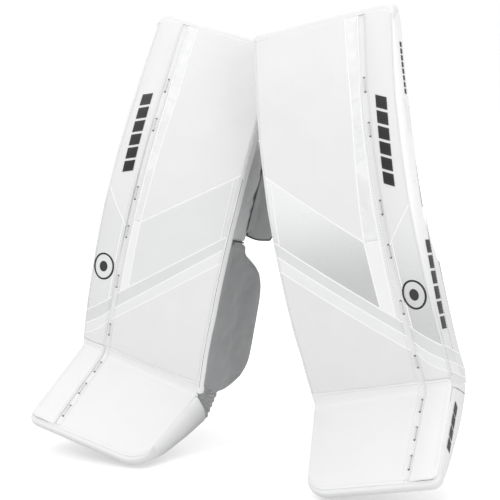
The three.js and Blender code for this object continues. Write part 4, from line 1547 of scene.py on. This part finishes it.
# ------------------------------------------------------------------ inflated cushions
def cushion(place, outline, thick, cap, rim=1.6, step=7.0, start=0.6, channels=(), middle=None):
    """A closed pad of two skins joined round a rim, inflated by a cloth simulation.

    start is its fullness before inflation, cap the furthest a point may move, middle the
    thickness at which the rim lies. channels are sewn lines across the pad at shares of u or v.
    """
    us, vs = (np.linspace(0, 1, max(5, int(span(*pair) / step) + 1))
              for pair in (outline[:2], outline[2:]))
    flat = coons(*outline, us, vs)
    x, z = flat[..., 0], flat[..., 1]
    full_u, full_v = (np.clip(4 * s * (1 - s), 0, 1) ** 0.42 for s in (us, vs))
    fullness = full_u[:, None] * full_v[None, :]
    pinned = np.ones(fullness.shape, bool)
    pinned[1:-1, 1:-1] = False
    for axis, share in channels:
        if axis == "u":
            line = np.s_[int(np.argmin(abs(us - share)))]
        else:
            line = np.s_[:, int(np.argmin(abs(vs - share)))]
        fullness[line] *= 0.35
        pinned[line] = True
    middle = thick / 2 if middle is None else middle

    def skins(fill):
        def depth(total):
            return rim / 2 + (total * fill - rim / 2) * fullness
        return grid_solid(place(x, z, middle - depth(middle)),
                          place(x, z, middle + depth(thick - middle)))

    fabric = np.concatenate([columns(x, z, 0).reshape(-1, 3)] * 2)
    points, faces = skins(start)
    pins = np.nonzero(np.concatenate([pinned.ravel()] * 2))[0]
    return inflate(points, faces, pins, cap), faces, fabric


def inflate(points, faces, pins, cap, frames=20):
    """Points of a closed mesh after a short cloth simulation under pressure."""
    mesh = bpy.data.meshes.new("sim")
    mesh.from_pydata((points * 0.001).tolist(), [],
                     [tuple(int(i) for i in face) for face in outward(points, faces)])
    mesh.update()
    ob = bpy.data.objects.new("sim", mesh)
    SCENE.collection.objects.link(ob)
    ob.vertex_groups.new(name="pin").add([int(i) for i in pins], 1.0, "REPLACE")
    cloth = ob.modifiers.new("Cloth", "CLOTH")
    settings = cloth.settings
    settings.use_pressure = True
    settings.uniform_pressure_force = 4.0
    settings.vertex_group_mass = "pin"
    settings.effector_weights.gravity = 0.0
    settings.quality = 6
    settings.mass = 0.15
    settings.tension_stiffness = settings.compression_stiffness = 12
    settings.bending_stiffness = 0.6
    settings.shrink_min = -0.03
    cloth.collision_settings.use_collision = False
    cloth.collision_settings.use_self_collision = False
    cloth.point_cache.frame_start, cloth.point_cache.frame_end = 1, frames
    for number in range(1, frames + 1):
        SCENE.frame_set(number)
    evaluated = ob.evaluated_get(bpy.context.evaluated_depsgraph_get())
    moved = np.zeros(len(mesh.vertices) * 3)
    evaluated.data.vertices.foreach_get("co", moved)
    SCENE.frame_set(1)
    bpy.data.objects.remove(ob)
    bpy.data.meshes.remove(mesh)
    shift = moved.reshape(-1, 3) * 1000 - points
    length = np.linalg.norm(shift, axis=1, keepdims=True)
    # a point the simulation lost stays where it started
    length[~np.isfinite(length)] = 0
    shift[~np.isfinite(shift)] = 0
    return points + shift * np.minimum(1, cap / np.maximum(length, 1e-9))


def build_soft_pads():
    """Each pad is inflated once and used on both sides."""
    pads = [(name, name, place, outline, thick, settings, "wing", "wing_nylon")
            for name, (place, outline, thick, settings, _) in WINGS.items()]
    for name, body, place, outline, thick, settings, material, slot in pads + INNER_PADS:
        shape = cushion(place, outline, thick, **settings)
        for side in SIDES:
            emit(side, name + "_pad", shape, material, slot, body=body, replaces=name,
                 subdivide=1, sharp=0)


def build_wing_bindings():
    for name, (place, (bottom, top, left, right), thick, settings, material) in WINGS.items():
        loop = np.concatenate([
            along(bottom, np.linspace(0, 1, 14)),
            along(right, np.linspace(0, 1, 24))[1:],
            along(top, np.linspace(0, 1, 20))[::-1][1:],
            along(left, np.linspace(0, 1, 20))[::-1][1:-1],
        ])
        middle = settings.get("middle", thick / 2)
        wider = loop + (loop - loop.mean(0)) * 0.02
        path = place(*loop.T, middle)
        shape = bead(path, place(*wider.T, middle) - path, 4.4, 1.6, 2.2, 10, closed=True)
        for side in SIDES:
            emit_pile(side, name + "_binding", [shape], material, "wing_nylon", body=name)


def build_block_binding(side):
    """Tape under the lower edge of the knee block."""
    y, z = along(BLOCK_OUTLINE[0], np.linspace(0.03, 0.90, 24)).T
    shape = bead(block_place(y, z - 0.2, 14), (0.0, 0.0, -1.0), 24.0, 2.2, 2.0, 10)
    emit_pile(side, "knee_block_binding", [shape], "binding", "wing_nylon")


# ------------------------------------------------------------------ hinges and straps
# name: lower z, upper z, x on the pad, depth on the pad, x and depth near the wing
HINGES = {
    "medial_calf_wing": (2, 284, lambda z: medial_x(z) + 0.4, 17.0, -138.3, 26.0),
    "medial_knee_wing": (294, 443, lambda z: medial_x(z) + 1.5, 80.0, -137.6, 91.0),
    "outer_calf_wing": (12, 202, lambda z: 133.0, 62.0, 134.2, 76.0),
    "outer_knee_wing": (316, 452, lambda z: 135.6, 28.0, 135.2, 39.0),
}


def build_hinges(side):
    """Fabric strips that join each wing to the pad."""
    for name, (low, high, pad_x, pad_y, near_x, near_y) in HINGES.items():
        place = WINGS[name][0]

        def strip(share, z):
            return bezier([plain_surface(pad_x(z), z, pad_y), plain_surface(near_x, z, near_y),
                           place(3.0, z, 1.2), place(14.0, z, 1.4)], share)

        z = np.linspace(low, high, 30)
        grid = strip(np.linspace(0, 1, 10)[:, None, None], z)
        middle = (low + high) / 2
        emit(side, name + "_hinge", (*sheet(grid, 1.3), sheet_fabric(np.linspace(0, 40, 10), z)),
             "wing", "wing_nylon",
             blend=("shin", name, strip(0.1, middle), strip(0.95, middle)), sharp=0)


# name: lower z, upper z, (x, y) control points, wing it is sewn to, start and end of the tab
# across that wing
STRAPS = {
    "calf_strap": (78, 128, [(68, 168), (30, 206), (-80, 214), (-128, 180)],
                   "outer_calf_wing", 58.0, 90.0),
    "knee_strap": (336, 386, [(52, 208), (20, 262), (-80, 292), (-128, 272)],
                   "outer_knee_wing", 80.0, 114.0),
}
STRAP_HALF_THICKNESS = np.array([0.5, 1.1, 1.2, 1.2, 1.2, 1.2, 1.2, 1.1, 0.5])[None, :, None]


def build_straps(side):
    for name, (low, high, controls, wing, tab_start, tab_end) in STRAPS.items():
        shares = np.linspace(0, 1, 9)
        curve = bezier(controls, np.linspace(0, 1, 60)[:, None])
        grid = columns(curve[:, :1], curve[:, 1:], low + 1 + (high - low - 2) * shares)
        normals = grid_normals(grid)
        lengths, widths = distances(grid[:, 4]), shares * 48
        emit(side, name + "_webbing",
             (*sheet(grid, 2 * STRAP_HALF_THICKNESS), sheet_fabric(lengths, widths)),
             "webbing", "strap_webbing", body=name, replaces=name)
        # hook patch on the front of the strap near its medial end
        rows = slice(47, 57)
        area, outside = grid[rows, 1:-1], normals[rows, 1:-1]
        if outside[5, 3, 1] >= 0:
            outside = -outside
        emit(side, name + "_hook_patch",
             (*grid_solid(area + outside * 1.25, area + outside * 2.6),
              sheet_fabric(lengths[rows], widths[1:-1])), "hook", "strap_webbing", body=name)
        # rows along both edges, and two rows across the outer end
        stitches = []
        for line in (np.s_[:, 1], np.s_[:, 7], np.s_[3, 1:8], np.s_[9, 1:8]):
            for outside in (normals[line], -normals[line]):
                stitches += stitch_row(grid[line] + outside * 1.25, outside,
                                       length=3.0, gap=2.0, radius=0.4)
        emit_pile(side, name + "_stitches", stitches, "stitch_grey", "strap_webbing", body=name)
        # short tab from the back of the wing to the start of the strap
        place = WINGS[wing][0]
        start, far = np.array(controls[0]), bezier(controls, 0.11)
        lift = 0.707 * 1.9
        z = low + 4 + (high - low - 8) * shares
        tab = bezier([place(tab_start, z, -1.6), place(tab_end, z, 2.6),
                      columns(*(start + lift), z), columns(*(far + lift), z)],
                     np.linspace(0, 1, 26)[:, None, None])
        fabric = sheet_fabric(np.linspace(0, 60, 26), np.linspace(0, high - low - 8, 9))
        middle = (low + high) / 2
        emit(side, name + "_anchor", (*sheet(tab, 1.3), fabric), "webbing", "strap_webbing",
             blend=(wing, name, place(tab_end - 2.0, middle, 4.0),
                    (*(start * 0.7 + far * 0.3), middle)), sharp=0)


# ------------------------------------------------------------------ toe cord
# (x, down, depth) of the cord on one side; the other side mirrors it
CORD_PATH = [(0, 139, 47), (1, 143, 51), (3, 150, 50), (6, 156, 44), (9, 160, 37),
             (13, 163, 35.5), (20, 164, 36.0), (29, 160, 36)]
KNOT_PROFILE = [(1.5, -2.6), (3.4, -1.8), (3.9, 0), (3.4, 1.8), (1.5, 2.6)]


def build_toe_cord(side):
    """A cord with two ends and a knot behind the toe."""
    shapes = []
    for sign in (1, -1):
        path = [boot_point(sign * x, down, depth) for x, down, depth in CORD_PATH]
        shapes.append(tube(resample(rounded(path), 2.0), 1.7))
    shapes.append(lathe(boot_point(0, 140, 50), (0, BOOT_COS, -BOOT_SIN), KNOT_PROFILE))
    emit_pile(side, "toe_cord", shapes, "cord", "strap_webbing", body="toe_slider")


# ------------------------------------------------------------------ printed marks
def bar_row(place, start, end, count, width, gap, slant):
    """Slanted bars in a row between two (crosswise, lengthwise) places.

    place gives the points and normals at such places.
    """
    length = abs(end[1] - start[1])
    bar = (length - gap * (count - 1)) / count
    share, across = np.linspace(0, 1, 5)[:, None], np.linspace(0, 1, 9)[None] - 0.5
    shapes = []
    for i in range(count):
        part = (i * (bar + gap) + share * bar + slant * across) / length
        points, normals = place(start[0] + (end[0] - start[0]) * part + across * width,
                                start[1] + (end[1] - start[1]) * part)
        shapes.append(grid_solid(points + normals * 0.35, points - normals * 0.3))
    return shapes


def on_roll(x, z):
    return normals_of(roll_surface, columns(x, z), -2.8)


def on_wall(y, z):
    return plain_surface(wall_x(y, z) + 0.35, z, y), np.array((1.0, 0, 0))


def on_boot(depth, down):
    return boot_point(boot_outer_x(down) + 4.7, down, depth), np.array((1.0, 0, 0))


def oval(centre, radius_x, radius_z, count):
    angles = np.linspace(0, 2 * pi, count, endpoint=False)
    return columns(centre[0] + radius_x * np.cos(angles), centre[1] + radius_z * np.sin(angles))


def dot(centre):
    """A flat oval on the roll with a slightly raised middle."""
    rim, rim_normals = normals_of(roll_surface, oval(centre, 8.5, 10.5, 28), -2.55)
    middle, middle_normal = normals_of(roll_surface, [centre], -2.75)
    points = np.concatenate([rim, rim - rim_normals * 0.6, middle, middle - middle_normal * 0.6])
    count = len(rim)
    pairs = [(i, (i + 1) % count) for i in range(count)]
    faces = [(i, j, 2 * count) for i, j in pairs]
    faces += [(j + count, i + count, 2 * count + 1) for i, j in pairs]
    faces += [(i + count, j + count, j, i) for i, j in pairs]
    return points, faces


def build_marks(side):
    shapes = bar_row(on_roll, (102, 514), (97, 372), count=6, width=20, gap=4.5, slant=7.0)
    centre = (105, 183) if side == "left" else (107, 184)
    points, normals = normals_of(roll_surface, oval(centre, 20.5, 25, 60), -2.3)
    shapes.append(bead(points, normals, 3.6, 0.35, 0.4, 8, closed=True))
    shapes.append(dot(centre))
    shapes += bar_row(on_wall, (20, 586), (20, 504), count=8, width=8, gap=2.5, slant=3.0)
    shapes += bar_row(on_wall, (21, 264), (16, 108), count=6, width=20, gap=4.5, slant=7.0)
    emit_pile(side, "plain_marks", shapes, "ink", "toe_plastic")
    bars = bar_row(on_boot, (17, 30), (12.2, 126), count=4, width=12, gap=4.0, slant=5.0)
    emit_pile(side, "plain_boot_marks", bars, "ink", "toe_plastic", body="boot")


# ------------------------------------------------------------------ soft sides of the ankle
PLEAT_X = -134.0
ANKLE_X = 136.2
# (y, z) of the upper edge of the pleats
pleat_top = table([(2, -3), (24, 1), (34, 1), (48, -11), (71, -23), (84, -24)])


def ankle_point(x, radius, degrees):
    """A point at an angle below the horizontal behind the fold."""
    angle = radians(degrees)
    return columns(x, radius * cos(angle), FOLD_SLOPE * x - radius * sin(angle))


def smooth(share):
    share = np.clip(share, 0.0, 1.0)
    return share * share * (3 - 2 * share)


def build_pleats(side):
    """Fabric gathered in pleats on the medial side of the ankle."""
    back, down = np.linspace(0, 1, 22)[:, None], np.linspace(0, 1, 70)[None]
    top_y = 2.5 + 74 * back
    foot = ankle_point(PLEAT_X, 4 + 75 * back, 62.0)
    y = top_y * (1 - down) + foot[..., 1] * down
    z = pleat_top(top_y) * (1 - down) + (foot[..., 2] + ANKLE_GAP) * down
    drop = FOLD_SLOPE * PLEAT_X + ANKLE_GAP - z
    angle = np.degrees(np.arctan2(drop, y))
    fullness = (smooth((angle - 9) / 6.0) * smooth((61.5 - angle) / 4.0)
                * smooth(np.hypot(y, drop) / 16.0))
    folds = abs(np.sin(pi * (angle - 9) / 8.4))
    grid = columns(-133.2 - fullness * (1.6 + 2.8 * folds), y, z)
    emit(side, "medial_ankle_pleats", sheet(grid, 1.2), "wing", "wing_nylon",
         blend=("boot", "shin", ankle_point(PLEAT_X, 60, 60), ankle_point(PLEAT_X, 60, 16)),
         sharp=0)


def build_outer_ankle(side):
    """A plain gusset on the outer side of the ankle, with a dark bead of painted seam shadow across
    it.
    """
    back, down = np.linspace(0, 1, 40)[:, None], np.linspace(0, 1, 30)[None]
    top_y = -2.6 + 64.0 * back
    top = shin_end(136.0, top_y) + 3.5 * (1 - smooth((top_y + 2.6) / 8.0)) + 3.0
    depth = 56.0 * back
    foot = boot_point(136.0, boot_edge(depth, 46.5) + 4.0 * (1 - back), depth)
    slack = 3.5 * np.sin(pi * down) * smooth((back - 0.7) / 0.3)
    y = top_y * (1 - down) + foot[..., 1] * down + 0.8 * slack
    z = top * (1 - down) + foot[..., 2] * down - 0.6 * slack
    front_curve = 1 - smooth((y + 4.0) / 13.0)
    x = (WALL_X - 3.6 * front_curve ** 1.6 + 0.3 * np.sin(pi * back)
         - 6.5 * np.maximum(0.0, (back - 0.8) / 0.2) ** 2)
    tuck = 1 - smooth(down / 0.2) * smooth((1 - down) / 0.12)
    x = x - 2.3 * tuck + 0.7 * np.sin(pi * down) * smooth(back * 3)
    grid = columns(x, y, z)
    flex = ("boot", "shin", ankle_point(ANKLE_X, 40, 48), ankle_point(ANKLE_X, 40, 18))
    emit(side, "outer_ankle_gusset", sheet(grid, 1.3), "side", "side_leather", blend=flex,
         sharp=0)
    # dark bead across the gusset: painted shadow of the seam
    path = resample(grid[2:-1, 26] + [0.6, 0, 0], 3)
    emit_pile(side, "outer_ankle_seam", [bead(path, (1.0, 0, 0), 1.9, 1.0, 1.0)], "shade",
              "side_leather", blend=flex)


# ------------------------------------------------------------------ build the pads
PARTS = (build_face, build_roll, build_boot, build_medial_edge, build_outer_wall,
         build_calf_gusset, build_wall_trim, build_wall_bands, build_strap_tab, build_top_edge,
         build_back_cover, build_hinges, build_straps, build_toe_cord, build_marks,
         build_pleats, build_outer_ankle, build_block_binding)
for side in SIDES:
    dress_cad(side)
for side in SIDES:
    for build_part in PARTS:
        build_part(side)
build_soft_pads()
build_wing_bindings()


# ------------------------------------------------------------------ stage, lights and camera
def build_floor():
    half = 30.0
    mesh = bpy.data.meshes.new("floor")
    mesh.from_pydata([(-half, -half, 0), (half, -half, 0), (half, half, 0), (-half, half, 0)],
                     [], [(0, 1, 2, 3)])
    floor = bpy.data.objects.new("floor", mesh)
    SCENE.collection.objects.link(floor)
    material, graph, bsdf = principled("pale_floor")
    patches = graph.noise(graph.object_coords(), scale=3.0, detail=2.0)
    seen = graph.node("LightPath").outputs["Is Camera Ray"]
    graph.feed(bsdf, {
        "Base Color": graph.ramp(patches, 0.3, 0.80, 0.7, 0.82),
        "Roughness": 0.9,
        "Specular IOR Level": 0.1,
        "Emission Color": (1, 1, 1, 1),
        # a glow that only the camera sees
        "Emission Strength": graph.math("MULTIPLY", seen, 0.42),
    })
    mesh.materials.append(material)


def build_world():
    """White surroundings, dimmer as a light than as a background."""
    studio = bpy.data.worlds.new("studio")
    SCENE.world = studio
    graph = Graph(studio)
    output = graph.node("OutputWorld")
    white = (1, 1, 1, 1)
    lighting = graph.node("Background", {0: white, 1: 0.72})
    backdrop = graph.node("Background", {0: white, 1: 1.0})
    seen = graph.node("LightPath").outputs["Is Camera Ray"]
    mixed = graph.node("MixShader", {0: seen, 1: lighting.outputs[0], 2: backdrop.outputs[0]})
    graph.feed(output, {0: mixed.outputs[0]})


def area_light(name, location, target, size, power):
    light = bpy.data.lights.new(name, "AREA")
    light.shape = "SQUARE"
    light.size = size
    light.energy = power
    ob = bpy.data.objects.new(name, light)
    SCENE.collection.objects.link(ob)
    ob.location = location
    ob.rotation_mode = "QUATERNION"
    ob.rotation_quaternion = (Vector(target) - Vector(location)).to_track_quat("-Z", "Y")
    return ob


def build_lights():
    area_light("key", location=(-1.6, -3.4, 3.4), target=(0, 0, 0.45), size=2.4, power=48)
    area_light("fill", location=(3.6, -2.0, 1.7), target=(0, 0, 0.45), size=2.2, power=36)
    area_light("top", location=(0.3, 0.4, 4.0), target=(0, 0, 0.4), size=2.6, power=36)
    area_light("back", location=(-1.5, 3.8, 2.4), target=(0, 0, 0.45), size=2.4, power=26)
    # a small lamp for the narrow medial edge of the right pad only
    inner = area_light("inner", location=(1.9, -1.7, 1.0), target=(-0.1, 0, 0.4), size=0.8,
                       power=13)
    receivers = bpy.data.collections.new("inner_edge")
    for ob in SCENE.objects:
        if ob.type == "MESH" and ("right_medial_edge" in ob.name or "right_knee_block" in ob.name):
            receivers.objects.link(ob)
    inner.light_linking.receiver_collection = receivers


def build_camera():
    data = bpy.data.cameras.new("camera")
    camera = bpy.data.objects.new("camera", data)
    SCENE.collection.objects.link(camera)
    SCENE.camera = camera
    axes = Matrix((
        (0.87037279, 0.49239335, 0),               # right
        (-0.08404641, 0.14856356, 0.98532486),     # up
        (0.4851674, -0.85759994, 0.17068957),      # backward
    )).transposed()
    camera.matrix_world = Matrix.Translation((1.30765, -2.38540, 0.87440)) @ axes.to_4x4()
    data.lens = 107.382744
    data.sensor_width = 36
    data.clip_start, data.clip_end = 0.1, 60


build_floor()
build_world()
build_lights()
build_camera()
SCENE.view_settings.view_transform = "Standard"
SCENE.view_settings.look = "None"
